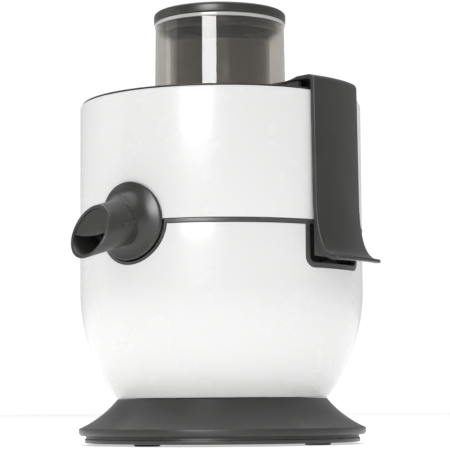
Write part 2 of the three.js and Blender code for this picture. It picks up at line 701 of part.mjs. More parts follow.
function makeGland() {
  const gland = revolve([
    [GLAND_BORE, -SHELL_WALL - 6],
    [GLAND_RADIUS, -SHELL_WALL - 6],
    [GLAND_RADIUS, 1],
    [GLAND_FLANGE, 1],
    [GLAND_FLANGE - 1, 3.5],
    [GLAND_BORE + 1, 4],
    [GLAND_BORE, 3],
  ], SMALL_FACETS);
  add(base, "mains_inlet_gland", atGland(gland), SOFT_RUBBER);
}

// ---- Bowl, pulp tub and upper shell -------------------------------------------------------------

function makeUpperShell() {
  const bottom = trimTop + GAP;
  const shell = revolve([
    [shellInside, bottom],
    [BODY_RADIUS, bottom],
    [BODY_RADIUS, RIM_HEIGHT - 1],
    [BODY_RADIUS - 0.8, RIM_HEIGHT],
    [shellInside + 0.6, RIM_HEIGHT],
    [shellInside, RIM_HEIGHT - 0.6],
  ]);
  add(bowl, "upper_shell", cut(shell, spoutDip(FLANGE_RADIUS - 6)), WHITE_PLASTIC);
}

function makeJuiceBowl() {
  const floor = bowlBottom + BOWL_WALL;
  const towerBore = TOWER_RADIUS - BOWL_WALL;
  const towerTop = bowlBottom + TOWER_HEIGHT;
  const tub = revolve([
    [towerBore, bowlBottom],
    [drumRadius, bowlBottom],
    [drumRadius, bowlFlange],
    [shellInside - GAP, bowlFlange],
    [shellInside - GAP, bowlFlange + BOWL_WALL],
    [drumRadius, bowlFlange + BOWL_WALL],
    [drumRadius, drumTop],
    [drumRadius - BOWL_WALL, drumTop],
    [drumRadius - BOWL_WALL, floor],
    [TOWER_RADIUS, floor],
    [TOWER_RADIUS, towerTop],
    [towerBore, towerTop],
  ]);
  const duct = (radius, from, to) =>
    post(radius, from, to).rotateX(Math.PI / 2).translate(0, 0, spoutHeight);
  const inner = drumRadius - BOWL_WALL;
  const outlet = join(tub, duct(SPOUT_BORE + DUCT_WALL, inner + 0.8, shellInside));
  add(bowl, "juice_bowl", cut(outlet, duct(SPOUT_BORE, inner - 6, shellInside + 1)), MILKY);
  const gasket = ring(SPOUT_BORE + DUCT_WALL, SPOUT_BORE + GAP, 0, GASKET_THICKNESS, SMALL_FACETS);
  gasket.rotateX(Math.PI / 2).translate(0, -shellInside - GAP, spoutHeight);
  add(bowl, "spout_gasket", gasket, SOFT_RUBBER);
}

function makePulpTub() {
  const inner = drumRadius + SLIP;
  const floor = tubBottom + TUB_WALL;
  const tub = revolve([
    [inner, tubBottom],
    [tubRadius, tubBottom],
    [tubRadius, tubTop],
    [tubRadius - TUB_WALL, tubTop],
    [tubRadius - TUB_WALL, floor],
    [inner + TUB_WALL, floor],
    [inner + TUB_WALL, drumTop + 3],
    [inner, drumTop + 3],
  ]);
  add(bowl, "pulp_tub", tub, MILKY);
}

// ---- Spout --------------------------------------------------------------------------------------

const slope = radians(SPOUT_SLOPE);
const neckRadius = SLEEVE_RADIUS - SLEEVE_WALL - GAP;
const sleeveDrop = (sleeveReach - BODY_RADIUS) * Math.tan(slope) * 0.74;

// A ring of the spout: reach is its distance from the body axis, and drape is how closely it follows
// the round housing, from 0 (flat) to 1 (lying on it).
function spoutRing({ reach, radius, tilt = 0, drop = 0, drape = 0 }) {
  const points = [];
  for (let i = 0; i < HOUSING_FACETS; i++) {
    const angle = (2 * Math.PI * i) / HOUSING_FACETS;
    const across = radius * Math.cos(angle);
    const up = radius * Math.sin(angle);
    const sag = BODY_RADIUS - Math.sqrt(BODY_RADIUS ** 2 - across ** 2);
    const out = reach - drape * sag + up * Math.sin(tilt);
    points.push(new THREE.Vector3(across, -out, spoutHeight - drop + up * Math.cos(tilt)));
  }
  return points;
}

function makeFlange() {
  const back = BODY_RADIUS + GAP;
  const front = back + FLANGE_EDGE;
  const shoulder = sleeveReach - GAP;
  const trumpet = bend([FLANGE_RADIUS - 0.6, front], [SLEEVE_RADIUS, front + 1], [SLEEVE_RADIUS, shoulder], 6);
  const turn = (reach) => Math.max(0, (reach - front) / (shoulder - front));
  const sloped = (reach, radius) => ({
    reach,
    radius,
    tilt: slope * turn(reach),
    drop: sleeveDrop * turn(reach) ** 2,
    drape: Math.max(0, (radius - SLEEVE_RADIUS) / (FLANGE_RADIUS - SLEEVE_RADIUS)),
  });
  const tipReach = shoulder + NECK_LENGTH * Math.cos(slope);
  const tip = { reach: tipReach, tilt: slope, drop: sleeveDrop + NECK_LENGTH * Math.sin(slope) };
  const skin = [
    { reach: back, radius: FLANGE_RADIUS, drape: 1 },
    { reach: front - 0.6, radius: FLANGE_RADIUS, drape: 1 },
    ...trumpet.map(([radius, reach]) => sloped(reach, radius)),
    sloped(shoulder, neckRadius),
    { ...tip, radius: neckRadius },
    { ...tip, radius: SPOUT_BORE },
    sloped(shoulder, SPOUT_BORE),
    { reach: back, radius: SPOUT_BORE, drape: 1 },
  ];
  add(bowl, "spout_flange", loft(skin.map(spoutRing)), GREY_PLASTIC);
}

// Moves a piece made along +Z, with +Y up, onto the sleeve's axis.
const atSleeve = (geometry) =>
  geometry
    .rotateX(Math.PI / 2 + slope)
    .translate(0, -sleeveReach, spoutHeight - sleeveDrop);

function makeNozzle() {
  const longest = SLEEVE_LENGTH + SLEEVE_RADIUS;
  const inner = SLEEVE_RADIUS - SLEEVE_WALL;
  // Everything beyond the mouth: a block whose near face is the mouth's plane.
  const beyond = (inset) =>
    block([-30, 30], [-40, 40], [-inset, 50]).rotateX(-radians(MOUTH_TILT)).translate(0, 0, SLEEVE_LENGTH);
  const sleeve = cut(ring(SLEEVE_RADIUS, inner, 0, longest, 32), beyond(0));
  const plug = cut(post(inner + 0.4, 4, longest, 32), beyond(1));
  const behind = cut(post(inner + 1, 0, longest, 32), beyond(2.8));
  const below = block([-30, 30], [-40, -2], [-10, 60]);
  const cover = cut(plug, behind, below);
  const marker = block([SLEEVE_RADIUS - 1, SLEEVE_RADIUS + 1], [-1.6, 1.6], [0.6, 12]);
  add(nozzle, "spout_nozzle", atSleeve(join(sleeve, cover, marker)), GREY_PLASTIC);
}

// ---- Basket -------------------------------------------------------------------------------------

function makeBasket() {
  const discBottom = hubTop - HUB_THICKNESS;
  const socketRadius = COUPLING_RADIUS + SLIP;
  const stemBottom = couplingTop - SOCKET_DEPTH + 1;
  const hub = cut(
    revolve([
      [0, stemBottom],
      [socketRadius + SOCKET_WALL - 1, stemBottom],
      [socketRadius + SOCKET_WALL - 1, discBottom],
      [hubRadius, discBottom],
      [hubRadius, hubTop],
      [0, hubTop],
    ]),
    post(socketRadius, stemBottom - 1, couplingTop + 1.5, 6),
  );
  add(basket, "basket_hub", hub, GREY_PLASTIC);
  let cutter = post(hubRadius - 1, hubTop + GAP, cutterTop, HOUSING_FACETS);
  [0.35, 0.6, 0.85].forEach((share, row) => {
    spaced(TEETH_PER_ROW, row * 15, (angle) => {
      const radius = share * (hubRadius - 1);
      const tooth = block([radius - 2, radius + 2], [-0.6, 0.6], [cutterTop - 0.5, cutterTop + CUTTER_TOOTH]);
      cutter = join(cutter, tooth.rotateZ(angle));
    });
  });
  add(basket, "cutter_disc", cutter, STEEL);
  const rimBottom = basketTop - BASKET_RIM_HEIGHT;
  const meshFoot = hubRadius + GAP;
  const meshHead = basketRadius - BASKET_RIM_WIDTH + 0.6;
  const mesh = revolve([
    [meshFoot, discBottom],
    [meshFoot + MESH_THICKNESS, discBottom],
    [meshHead + MESH_THICKNESS, rimBottom - GAP],
    [meshHead, rimBottom - GAP],
  ]);
  add(basket, "filter_mesh", mesh, STEEL);
  const rim = ring(basketRadius, basketRadius - BASKET_RIM_WIDTH, rimBottom, basketTop);
  add(basket, "basket_rim", rim, GREY_PLASTIC);
}

// ---- Lid, feed tube and latch pin ---------------------------------------------------------------

// Lays a piece made along +Z onto the latch's pivot line, which runs along Y.
const atPivot = (geometry) => geometry.rotateX(Math.PI / 2).translate(pivotReach, 0, pivotHeight);

const lugInner = LUG_INNER;
const lugOuter = LUG_INNER + LUG_WIDTH;

function makeLid() {
  const seat = RIM_HEIGHT + GAP;
  const skirtOuter = shellInside - SLIP;
  const skirtInner = skirtOuter - LID_THICKNESS;
  const skirtBottom = RIM_HEIGHT - LID_SKIRT;
  const hole = TUBE_RADIUS + SLIP;
  let cover = revolve([
    [hole, dishBottom],
    [skirtInner, dishBottom],
    [skirtInner, skirtBottom],
    [skirtOuter, skirtBottom],
    [skirtOuter, seat],
    [lidRadius, seat],
    [lidRadius, RIM_HEIGHT + LID_BEAD + GAP],
    [skirtInner, RIM_HEIGHT + LID_BEAD + GAP],
    [skirtInner - LID_DISH, dishTop],
    [hole, dishTop],
  ]);
  const lug = (from, to) =>
    join(
      atPivot(post(KNUCKLE_RADIUS, from, to)),
      block([pivotReach - 3, pivotReach + 3], [-to, -from], [dishTop - 1, pivotHeight]),
    );
  cover = join(cover, lug(lugInner, lugOuter), lug(-lugOuter, -lugInner));
  cover = cut(cover, atPivot(post(PIVOT_PIN_RADIUS + GAP, -lugOuter - 1, lugOuter + 1, 12)));
  add(lid, "lid", cover, SATIN_BLACK);
  const sealWidth = 2 * TUB_WALL;
  const gasket = ring(tubRadius, tubRadius - sealWidth, tubTop + GAP, skirtBottom - GAP);
  add(lid, "lid_gasket", gasket, SOFT_RUBBER);
  const half = lugOuter + 0.5;
  add(lid, "latch_pin", atPivot(post(PIVOT_PIN_RADIUS, -half, half, 12)), STEEL);
}

function makeFeedTube() {
  const chute = TUBE_RADIUS - CHUTE_STEP;
  const flangeTop = dishBottom - GAP;
  const flangeBottom = flangeTop - TUBE_FLANGE_HEIGHT;
  const neck = flangeBottom - 4;
  const topRadius = TUBE_RADIUS - TUBE_TAPER;
  const tube = revolve([
    [chute - TUBE_WALL, chuteBottom],
    [chute, chuteBottom],
    [chute, neck],
    [TUBE_RADIUS, flangeBottom],
    [TUBE_RADIUS + TUBE_FLANGE, flangeBottom],
    [TUBE_RADIUS + TUBE_FLANGE, flangeTop],
    [TUBE_RADIUS, flangeTop],
    [topRadius, tubeTop],
    [topRadius - TUBE_WALL, tubeTop],
    [TUBE_RADIUS - TUBE_WALL, flangeBottom],
    [chute - TUBE_WALL, neck],
  ]);
  add(lid, "feed_tube", tube, SMOKED);
}

// ---- Latch lever --------------------------------------------------------------------------------

// The lever is drawn shut: an arm over the lid, a strap down the housing and a lip that flares out.
// It is a slice of a turned shape, so the strap follows the round housing.
function makeLatch() {
  const inside = BODY_RADIUS + SLIP;
  const outside = inside + LATCH_WALL;
  const armTop = latchTop - LATCH_DIP;
  const armEnd = pivotReach - 3;
  const lipTop = lipHeight + LIP_THICKNESS;
  const innerCorner = LATCH_CORNER - LATCH_WALL + 0.5;
  const flare = (from, reach, height) => bend([from, flareStart], [from, height], [reach, height], 8);
  const section = [
    [lipReach, lipHeight],
    [lipReach, lipTop],
    ...flare(outside, lipReach - 0.5, lipTop).reverse(),
    ...arc(outside - LATCH_CORNER, latchTop - LATCH_CORNER, LATCH_CORNER, 0, 90, 4),
    ...bend([outside - 14, latchTop - 0.4], [outside - 20, armTop], [outside - 28, armTop], 3),
    [armEnd, armTop],
    [armEnd, armTop - LATCH_WALL + 0.4],
    [outside - 28, armTop - LATCH_WALL + 0.4],
    [outside - 16, latchTop - LATCH_WALL],
    ...arc(inside - innerCorner, latchTop - LATCH_WALL - innerCorner, innerCorner, 90, 0, 2),
    ...flare(inside, lipReach - 3, lipHeight),
  ];
  const half = LATCH_WIDTH / 2;
  const slice = (width) => block([armEnd, lipReach + 5], width, [lipHeight - 24, latchTop + 5]);
  let lever = common(revolve(section, 2 * HOUSING_FACETS), slice([-half, half]));
  // What fills the flare from a given radius outwards: side webs, the nose and its tail are cut from it.
  const filling = (radius) =>
    revolve([
      [radius, lipHeight + 3.5],
      [lipReach - 4, lipHeight + 1],
      ...flare(inside + 1, lipReach - 2, lipHeight + 1).reverse(),
      [radius, flareStart],
    ], 2 * HOUSING_FACETS);
  const web = filling(inside);
  const rib = ring(outside - 13, armEnd, RIM_HEIGHT + LID_BEAD + 1.4, armTop - 1);
  [[-half, WEB_THICKNESS - half], [half - WEB_THICKNESS, half]].forEach((width) => {
    lever = join(lever, common(web, slice(width)), common(rib, slice(width)));
  });
  // The nose grips under the trim's bar, and a narrow rib below it works the interlock.
  const noseTip = trimRadius - NOSE_GRIP;
  const reachOut = [pivotReach, lipReach];
  const noseBlock = block(reachOut, [-NOSE_WIDTH / 2, NOSE_WIDTH / 2], [noseTop - NOSE_HEIGHT, noseTop]);
  const tailBlock = block(reachOut, [-3, 3], [plungerHeight - 1, noseTop - 1]);
  lever = join(lever, common(filling(noseTip), noseBlock), common(filling(noseTip), tailBlock));
  const knuckle = (from, to) =>
    join(
      atPivot(post(KNUCKLE_RADIUS, from, to)),
      block([armEnd, pivotReach + 3], [-to, -from], [pivotHeight, armTop - 1]),
    );
  lever = join(lever, knuckle(8, 18), knuckle(-18, -8));
  lever = cut(lever, atPivot(post(PIVOT_PIN_RADIUS + GAP, -half, half, 12)));
  lever
    .translate(-pivotReach, 0, -pivotHeight)
    .rotateY(-latchAjar)
    .translate(pivotReach, 0, pivotHeight);
  add(latch, "latch_lever", lever, GREY_PLASTIC);
}

// ---- Pusher -------------------------------------------------------------------------------------

const capBottom = tubeTop + GAP;

function makePusher() {
  const collarTop = capBottom - GAP;
  const collarBottom = collarTop - COLLAR_HEIGHT;
  const neck = collarBottom - 7;
  const cup = revolve([
    [0, pusherBottom],
    [pusherRadius, pusherBottom],
    [pusherRadius, neck],
    [collarRadius, collarBottom],
    [collarRadius, collarTop],
    [collarRadius - PUSHER_WALL, collarTop],
    [collarRadius - PUSHER_WALL, collarBottom + 0.8],
    [pusherRadius - PUSHER_WALL, neck + 0.8],
    [pusherRadius - PUSHER_WALL, pusherBottom + PUSHER_WALL],
    [0, pusherBottom + PUSHER_WALL],
  ]);
  add(pusher, "pusher_cup", cup, DARK_SMOKED);
  const plugRadius = collarRadius - PUSHER_WALL - GAP;
  const capTop = capBottom + CAP_HEIGHT;
  const cap = revolve([
    [0, capBottom - CAP_PLUG],
    [plugRadius, capBottom - CAP_PLUG],
    [plugRadius, capBottom],
    [capRadius, capBottom],
    [capRadius, capTop - 3],
    ...arc(capRadius - 2.5, capTop - 2.5, 2.5, 0, 90, 3),
    [0, capTop],
  ]);
  add(pusher, "pusher_cap", cap, GREY_PLASTIC);
}

makeSkirt();
makeBottomCover();
makeFeet();
makeCoverScrews();
makeLowerShell();
makeTrim();
makeLatchPocket();
makeDeck();
makeMotor();
makeRotor();
makeKnob();
makeInterlock();
makeGland();
makeUpperShell();
makeJuiceBowl();
makePulpTub();
makeFlange();
makeNozzle();
makeBasket();
makeLid();
makeFeedTube();
makeLatch();
makePusher();

// The origin is the middle of the footprint, so the body axis stands off it by half of what the spout
// and the latch reach further than the housing does behind them.
const footprint = new THREE.Box3().setFromObject(juicer, true);
const middle = footprint.getCenter(new THREE.Vector3());
juicer.position.set(-middle.x, -middle.y, 0);

export default juicer;
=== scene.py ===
# %% [markdown]
# # A centrifugal juicer, built round its measured frame
# The juicer is a white bulb-shaped motor housing on a dark flared foot. A white bowl with a dark spout
# stands on it, closed by a lid with a wide smoked feed tube, a pusher and one long latch lever. The look
# is built on top of it, so no piece is moved or resized here: a finer mesh only stands in for the same
# solid.

# %% Load the frame
import math

import bmesh
import bpy
from mathutils import Matrix, Vector


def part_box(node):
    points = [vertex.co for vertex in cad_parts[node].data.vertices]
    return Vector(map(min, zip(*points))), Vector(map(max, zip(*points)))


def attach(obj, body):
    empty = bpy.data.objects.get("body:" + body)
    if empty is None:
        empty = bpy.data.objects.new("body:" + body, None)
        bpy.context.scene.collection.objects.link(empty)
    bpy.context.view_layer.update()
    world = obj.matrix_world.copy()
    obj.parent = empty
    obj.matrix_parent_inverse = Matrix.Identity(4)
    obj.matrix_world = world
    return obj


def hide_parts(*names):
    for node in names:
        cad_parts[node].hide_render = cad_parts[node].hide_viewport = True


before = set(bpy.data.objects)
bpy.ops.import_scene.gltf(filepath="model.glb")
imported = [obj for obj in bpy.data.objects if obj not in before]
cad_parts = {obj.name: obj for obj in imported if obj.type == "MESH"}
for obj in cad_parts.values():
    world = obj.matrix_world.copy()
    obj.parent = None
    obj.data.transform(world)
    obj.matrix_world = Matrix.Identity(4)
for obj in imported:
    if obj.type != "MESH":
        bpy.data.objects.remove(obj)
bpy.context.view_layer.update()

# %% [markdown]
# # Working units and the machine's axis
# Everything round on the juicer shares one upright axis, which is the middle of the upper shell. Drawing the
# profiles in millimetres from that axis keeps the numbers readable, and one helper turns them into metres.
# Empties or a scaled parent could do the same, but plain numbers leave no hidden transforms on the pieces.

# %% The axis and the helper that places points
MM = 0.001
shell_low, shell_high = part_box("upper_shell")
axis_x = (shell_low.x + shell_high.x) / 2
axis_y = (shell_low.y + shell_high.y) / 2
to_frame = Matrix.Translation((axis_x, axis_y, 0)) @ Matrix.Scale(MM, 4)
print("axis at", round(axis_x, 4), round(axis_y, 4))


def turn(degrees, about):
    return Matrix.Rotation(math.radians(degrees), 4, about)


def shift(x, y, z):
    return Matrix.Translation((x, y, z))


# %% [markdown]
# # Profiles: arcs, bends and softened corners
# A moulded part never has a knife edge: the tool leaves a small radius on every corner, and that radius is
# what catches the light. A Bevel modifier could add it, but it trips over thin walls. Rounding the drawn
# profile instead puts the radius exactly where the mould would, before the profile is turned.


# %% Profile helpers
def arc(x, y, radius, start, end, steps):
    """Points along an arc, in degrees."""
    angles = [math.radians(start + (end - start) * i / steps) for i in range(steps + 1)]
    return [(x + radius * math.cos(a), y + radius * math.sin(a)) for a in angles]


def sweep(start, control, end, steps):
    """Points along a curve pulled towards one control point."""
    points = []
    for i in range(steps + 1):
        t = i / steps
        weights = ((1 - t) ** 2, 2 * t * (1 - t), t * t)
        points.append(tuple(sum(w * p[k] for w, p in zip(weights, (start, control, end))) for k in (0, 1)))
    return points


def soften(outline, radius=0.5, steps=3, sharpest=22):
    """Rounds each corner of a closed outline that turns by more than a few degrees."""
    soft = []
    count = len(outline)
    for i, corner in enumerate(outline):
        before, here, after = (Vector(outline[(i + k) % count]) for k in (-1, 0, 1))
        back, ahead = before - here, after - here
        if here.x < 1e-6 or min(back.length, ahead.length) < 1e-6:
            soft.append(tuple(corner))
            continue
        if 180 - math.degrees(back.angle(ahead)) < sharpest:
            soft.append(tuple(corner))
            continue
        reach = min(radius, 0.45 * back.length, 0.45 * ahead.length)
        start = here + back.normalized() * reach
        end = here + ahead.normalized() * reach
        soft += sweep(tuple(start), tuple(here), tuple(end), steps)
    return soft


print("a softened square has", len(soften([(1, 0), (2, 0), (2, 1), (1, 1)])), "points")

# %% [markdown]
# # Three ways to make a skin
# Most pieces are turned about an axis, so a profile spun in even steps gives clean quads. The spout's root is
# lofted through rings that lean over step by step. Blocks and plates are drawn as an outline and given a
# thickness. All three write straight to a mesh, which is quicker and tidier than running edit-mode operators.


# %% Mesh makers
def piece_of(build, name):
    """Writes a finished bmesh to a new piece with its faces turned outwards."""
    bmesh.ops.recalc_face_normals(build, faces=build.faces)
    mesh = bpy.data.meshes.new(name)
    build.to_mesh(mesh)
    build.free()
    piece = bpy.data.objects.new(name, mesh)
    bpy.context.scene.collection.objects.link(piece)
    return piece


def piece_from(name, grid, closed_rings, lay=Matrix()):
    """Skins a list of rings of points. A ring of one point is a pole."""
    build = bmesh.new()
    place = to_frame @ lay
    rings = [[build.verts.new(place @ Vector(point)) for point in ring] for ring in grid]
    pairs = list(zip(rings, rings[1:]))
    if closed_rings:
        pairs.append((rings[-1], rings[0]))
    for lower, upper in pairs:
        count = max(len(lower), len(upper))
        for i in range(count):
            j = (i + 1) % count
            corners = [lower[i % len(lower)], lower[j % len(lower)]]
            corners += [upper[j % len(upper)], upper[i % len(upper)]]
            corners = list(dict.fromkeys(corners))
            if len(corners) > 2:
                build.faces.new(corners)
    return piece_of(build, name)


def turned(name, outline, sides=160, lay=Matrix(), flute=None):
    """Turns a profile of (radius, height) about +Z. flute(angle, radius, height) may change the radius."""
    grid = []
    for radius, height in outline:
        if radius < 1e-6:
            grid.append([(0, 0, height)])
            continue
        ring = []
        for i in range(sides):
            angle = 2 * math.pi * i / sides
            reach = flute(angle, radius, height) if flute else radius
            ring.append((reach * math.cos(angle), reach * math.sin(angle), height))
        grid.append(ring)
    return piece_from(name, grid, outline[0][0] > 1e-6, lay)


def rod(radius, low, high, sides, lay=Matrix()):
    """A plain cylinder along +Z, used as a tool for cuts and joins."""
    return turned("tool", [(0, low), (radius, low), (radius, high), (0, high)], sides, lay)


def plate(name, outline, low, high, lay=Matrix()):
    """Gives a flat outline of (x, y) points a thickness. low and high are heights or functions of (x, y)."""
    level = lambda edge, x, y: edge(x, y) if callable(edge) else edge
    build = bmesh.new()
    place = to_frame @ lay
    bottom = [build.verts.new(place @ Vector((x, y, level(low, x, y)))) for x, y in outline]
    top = [build.verts.new(place @ Vector((x, y, level(high, x, y)))) for x, y in outline]
    build.faces.new(bottom)
    build.faces.new(top)
    for i in range(len(outline)):
        j = (i + 1) % len(outline)
        build.faces.new([bottom[i], bottom[j], top[j], top[i]])
    return piece_of(build, name)


def box_outline(x0, x1, y0, y1, corner=0.0, steps=4):
    """A rectangle with round corners."""
    if corner <= 0:
        return [(x0, y0), (x1, y0), (x1, y1), (x0, y1)]
    points = arc(x1 - corner, y0 + corner, corner, -90, 0, steps)
    points += arc(x1 - corner, y1 - corner, corner, 0, 90, steps)
    points += arc(x0 + corner, y1 - corner, corner, 90, 180, steps)
    points += arc(x0 + corner, y0 + corner, corner, 180, 270, steps)
    return points


def merge(piece, tools, how):
    """Cuts, joins or intersects a piece with throwaway tools, and bakes the result into its mesh."""
    for tool in tools:
        step = piece.modifiers.new("merge", "BOOLEAN")
        step.operation = how
        step.solver = "EXACT"
        step.object = tool
        graph = bpy.context.evaluated_depsgraph_get()
        result = bpy.data.meshes.new_from_object(piece.evaluated_get(graph))
        piece.modifiers.clear()
        piece.data = result
        piece.data.name = piece.name
        bpy.data.objects.remove(tool)
    return piece


def cut(piece, *tools):
    return merge(piece, tools, "DIFFERENCE")


def join(piece, *tools):
    return merge(piece, tools, "UNION")


print("mesh makers ready")

# %% [markdown]
# # Surface effects shared by several finishes
# Moulded plastic is never perfectly flat in colour or gloss. The mould's surface leaves a fine grain, hands
# leave broad dull patches, and long edges wear a little lighter. Each effect is one node group with named
# inputs, so every finish uses the same idea with its own strength. They could be painted as images, but
# procedural noise stays sharp at any distance and needs no unwrapping.


# %% Node group helpers
def group_shell(name, inputs, outputs):
    """An empty node group with its sockets. Returns the tree and its input and output nodes."""
    tree = bpy.data.node_groups.new(name, "ShaderNodeTree")
    for label, kind, value in inputs:
        socket = tree.interface.new_socket(name=label, in_out="INPUT", socket_type="NodeSocket" + kind)
        if value is not None:
            socket.default_value = value
    for label, kind in outputs:
        tree.interface.new_socket(name=label, in_out="OUTPUT", socket_type="NodeSocket" + kind)
    return tree, tree.nodes.new("NodeGroupInput"), tree.nodes.new("NodeGroupOutput")


def put(tree, kind, links=None, **settings):
    """Adds one node, sets its properties, and fills its inputs with values or other sockets."""
    node = tree.nodes.new("ShaderNode" + kind)
    for label, value in settings.items():
        setattr(node, label, value)
    for label, value in (links or {}).items():
        socket = node.inputs[label]
        if isinstance(value, bpy.types.NodeSocket):
            tree.links.new(value, socket)
        else:
            socket.default_value = value
    return node


# %% The mould grain group
grain_group, given, result = group_shell(
    "mould_grain",
    [("Vector", "Vector", None), ("Grain per metre", "Float", 2600.0), ("Ripple", "Float", 0.3)],
    [("Height", "Float")],
)
pits = put(
    grain_group,
    "TexVoronoi",
    {"Vector": given.outputs["Vector"], "Scale": given.outputs["Grain per metre"]},
)
ripple = put(grain_group, "TexNoise", {"Vector": given.outputs["Vector"], "Scale": 95.0, "Detail": 2.0})
lifted = put(
    grain_group,
    "Math",
    {0: ripple.outputs["Fac"], 1: given.outputs["Ripple"], 2: pits.outputs["Distance"]},
    operation="MULTIPLY_ADD",
)
grain_group.links.new(lifted.outputs[0], result.inputs["Height"])
print("mould grain:", len(grain_group.nodes), "nodes")

# %% The handling group
handling_group, given, result = group_shell(
    "handling_marks",
    [
        ("Vector", "Vector", None),
        ("Clean color", "Color", (0.8, 0.8, 0.8, 1)),
        ("Handled color", "Color", (0.75, 0.75, 0.75, 1)),
        ("Clean roughness", "Float", 0.3),
        ("Handled roughness", "Float", 0.4),
    ],
    [("Color", "Color"), ("Roughness", "Float")],
)
patches = put(
    handling_group,
    "TexNoise",
    {"Vector": given.outputs["Vector"], "Scale": 22.0, "Detail": 5.0, "Roughness": 0.62, "Distortion": 0.35},
)
patch_mask = put(
    handling_group,
    "MapRange",
    {"Value": patches.outputs["Fac"], "From Min": 0.36, "From Max": 0.7},
    interpolation_type="SMOOTHSTEP",
)
tint = put(
    handling_group,
    "Mix",
    {0: patch_mask.outputs[0], 6: given.outputs["Clean color"], 7: given.outputs["Handled color"]},
    data_type="RGBA",
)
dulling = put(
    handling_group,
    "Mix",
    {0: patch_mask.outputs[0], 2: given.outputs["Clean roughness"], 3: given.outputs["Handled roughness"]},
)
handling_group.links.new(tint.outputs[2], result.inputs["Color"])
handling_group.links.new(dulling.outputs[0], result.inputs["Roughness"])
print("handling marks:", len(handling_group.nodes), "nodes")

# %% The edge wear group
wear_group, given, result = group_shell(
    "edge_wear",
    [
        ("Vector", "Vector", None),
        ("Color", "Color", (0.1, 0.1, 0.1, 1)),
        ("Worn color", "Color", (0.2, 0.2, 0.2, 1)),
        ("Amount", "Float", 0.4),
    ],
    [("Color", "Color")],
)
surface = put(wear_group, "NewGeometry")
edge_mask = put(
    wear_group, "MapRange", {"Value": surface.outputs["Pointiness"], "From Min": 0.52, "From Max": 0.6}
)
scuffs = put(wear_group, "TexNoise", {"Vector": given.outputs["Vector"], "Scale": 160.0, "Detail": 4.0})
broken = put(wear_group, "Math", {0: edge_mask.outputs[0], 1: scuffs.outputs["Fac"]}, operation="MULTIPLY")
amount = put(wear_group, "Math", {0: broken.outputs[0], 1: given.outputs["Amount"]}, operation="MULTIPLY")
worn = put(
    wear_group,
    "Mix",
    {0: amount.outputs[0], 6: given.outputs["Color"], 7: given.outputs["Worn color"]},
    data_type="RGBA",
)
wear_group.links.new(worn.outputs[2], result.inputs["Color"])
print("edge wear:", len(wear_group.nodes), "nodes")


# %% [markdown]
# # Moulded plastics
# The white housing is glossy ABS, the grey parts are satin with a fine spark-eroded grain, and the pieces
# inside the recess are nearly black. They are the same material with other numbers: colour and gloss from the
# handling group, worn edges over it, and the grain through a Bump node. A thin coat layer gives the white its
# shine, because polish on ABS is a clear skin over a slightly duller body.


# %% Moulded plastic maker
def shade(red, green, blue):
    return (red, green, blue, 1.0)


def group_node(tree, group, links):
    node = tree.nodes.new("ShaderNodeGroup")
    node.node_tree = group
    for label, value in links.items():
        if isinstance(value, bpy.types.NodeSocket):
            tree.links.new(value, node.inputs[label])
        else:
            node.inputs[label].default_value = value
    return node


def start_material(name):
    """A node material with its Principled shader and its position in metres."""
    material = bpy.data.materials.new(name)
    material.use_nodes = True
    tree = material.node_tree
    shader = tree.nodes["Principled BSDF"]
    where = tree.nodes.new("ShaderNodeTexCoord").outputs["Object"]
    return material, tree, shader, where


def moulded(name, clean, handled, worn, gloss, grain, depth, ripple=0.3, wear=0.35, coat=0.0, level=0.5):
    material, tree, shader, where = start_material(name)
    marks = group_node(
        tree,
        handling_group,
        {
            "Vector": where,
            "Clean color": shade(*clean),
            "Handled color": shade(*handled),
            "Clean roughness": gloss[0],
            "Handled roughness": gloss[1],
        },
    )
    edges = group_node(
        tree,
        wear_group,
        {"Vector": where, "Color": marks.outputs["Color"], "Worn color": shade(*worn), "Amount": wear},
    )
    height = group_node(tree, grain_group, {"Vector": where, "Grain per metre": grain, "Ripple": ripple})
    bump = put(tree, "Bump", {"Height": height.outputs["Height"], "Strength": depth, "Distance": 0.0002})
    tree.links.new(edges.outputs["Color"], shader.inputs["Base Color"])
    tree.links.new(marks.outputs["Roughness"], shader.inputs["Roughness"])
    tree.links.new(bump.outputs["Normal"], shader.inputs["Normal"])
    shader.inputs["Coat Weight"].default_value = coat
    shader.inputs["Coat Roughness"].default_value = 0.06
    shader.inputs["Specular IOR Level"].default_value = level
    return material


# %% The plastics of this machine
white_gloss = moulded(
    "white_gloss_plastic",
    clean=(0.86, 0.86, 0.855),
    handled=(0.857, 0.857, 0.852),
    worn=(0.9, 0.9, 0.89),
    gloss=(0.265, 0.28),
    grain=1500.0,
    depth=0.02,
    ripple=0.3,
    wear=0.06,
    coat=0.1,
    level=0.32,
)
grey_satin = moulded(
    "grey_satin_plastic",
    clean=(0.033, 0.0325, 0.031),
    handled=(0.039, 0.0385, 0.037),
    worn=(0.15, 0.15, 0.146),
    gloss=(0.28, 0.38),
    grain=2600.0,
    depth=0.16,
    wear=0.55,
)
black_satin = moulded(
    "black_satin_plastic",
    clean=(0.022, 0.022, 0.021),
    handled=(0.028, 0.028, 0.027),
    worn=(0.1, 0.1, 0.1),
    gloss=(0.34, 0.45),
    grain=2400.0,
    depth=0.16,
    wear=0.5,
)
trim_grey = moulded(
    "seam_trim_plastic",
    clean=(0.05, 0.05, 0.048),
    handled=(0.06, 0.06, 0.058),
    worn=(0.16, 0.16, 0.16),
    gloss=(0.28, 0.38),
    grain=2400.0,
    depth=0.12,
    wear=0.5,
)
milky = moulded(
    "milky_polypropylene",
    clean=(0.7, 0.7, 0.68),
    handled=(0.66, 0.655, 0.625),
    worn=(0.8, 0.8, 0.78),
    gloss=(0.3, 0.42),
    grain=1200.0,
    depth=0.08,
    ripple=0.9,
    wear=0.3,
)
milky.node_tree.nodes["Principled BSDF"].inputs["Subsurface Weight"].default_value = 0.25
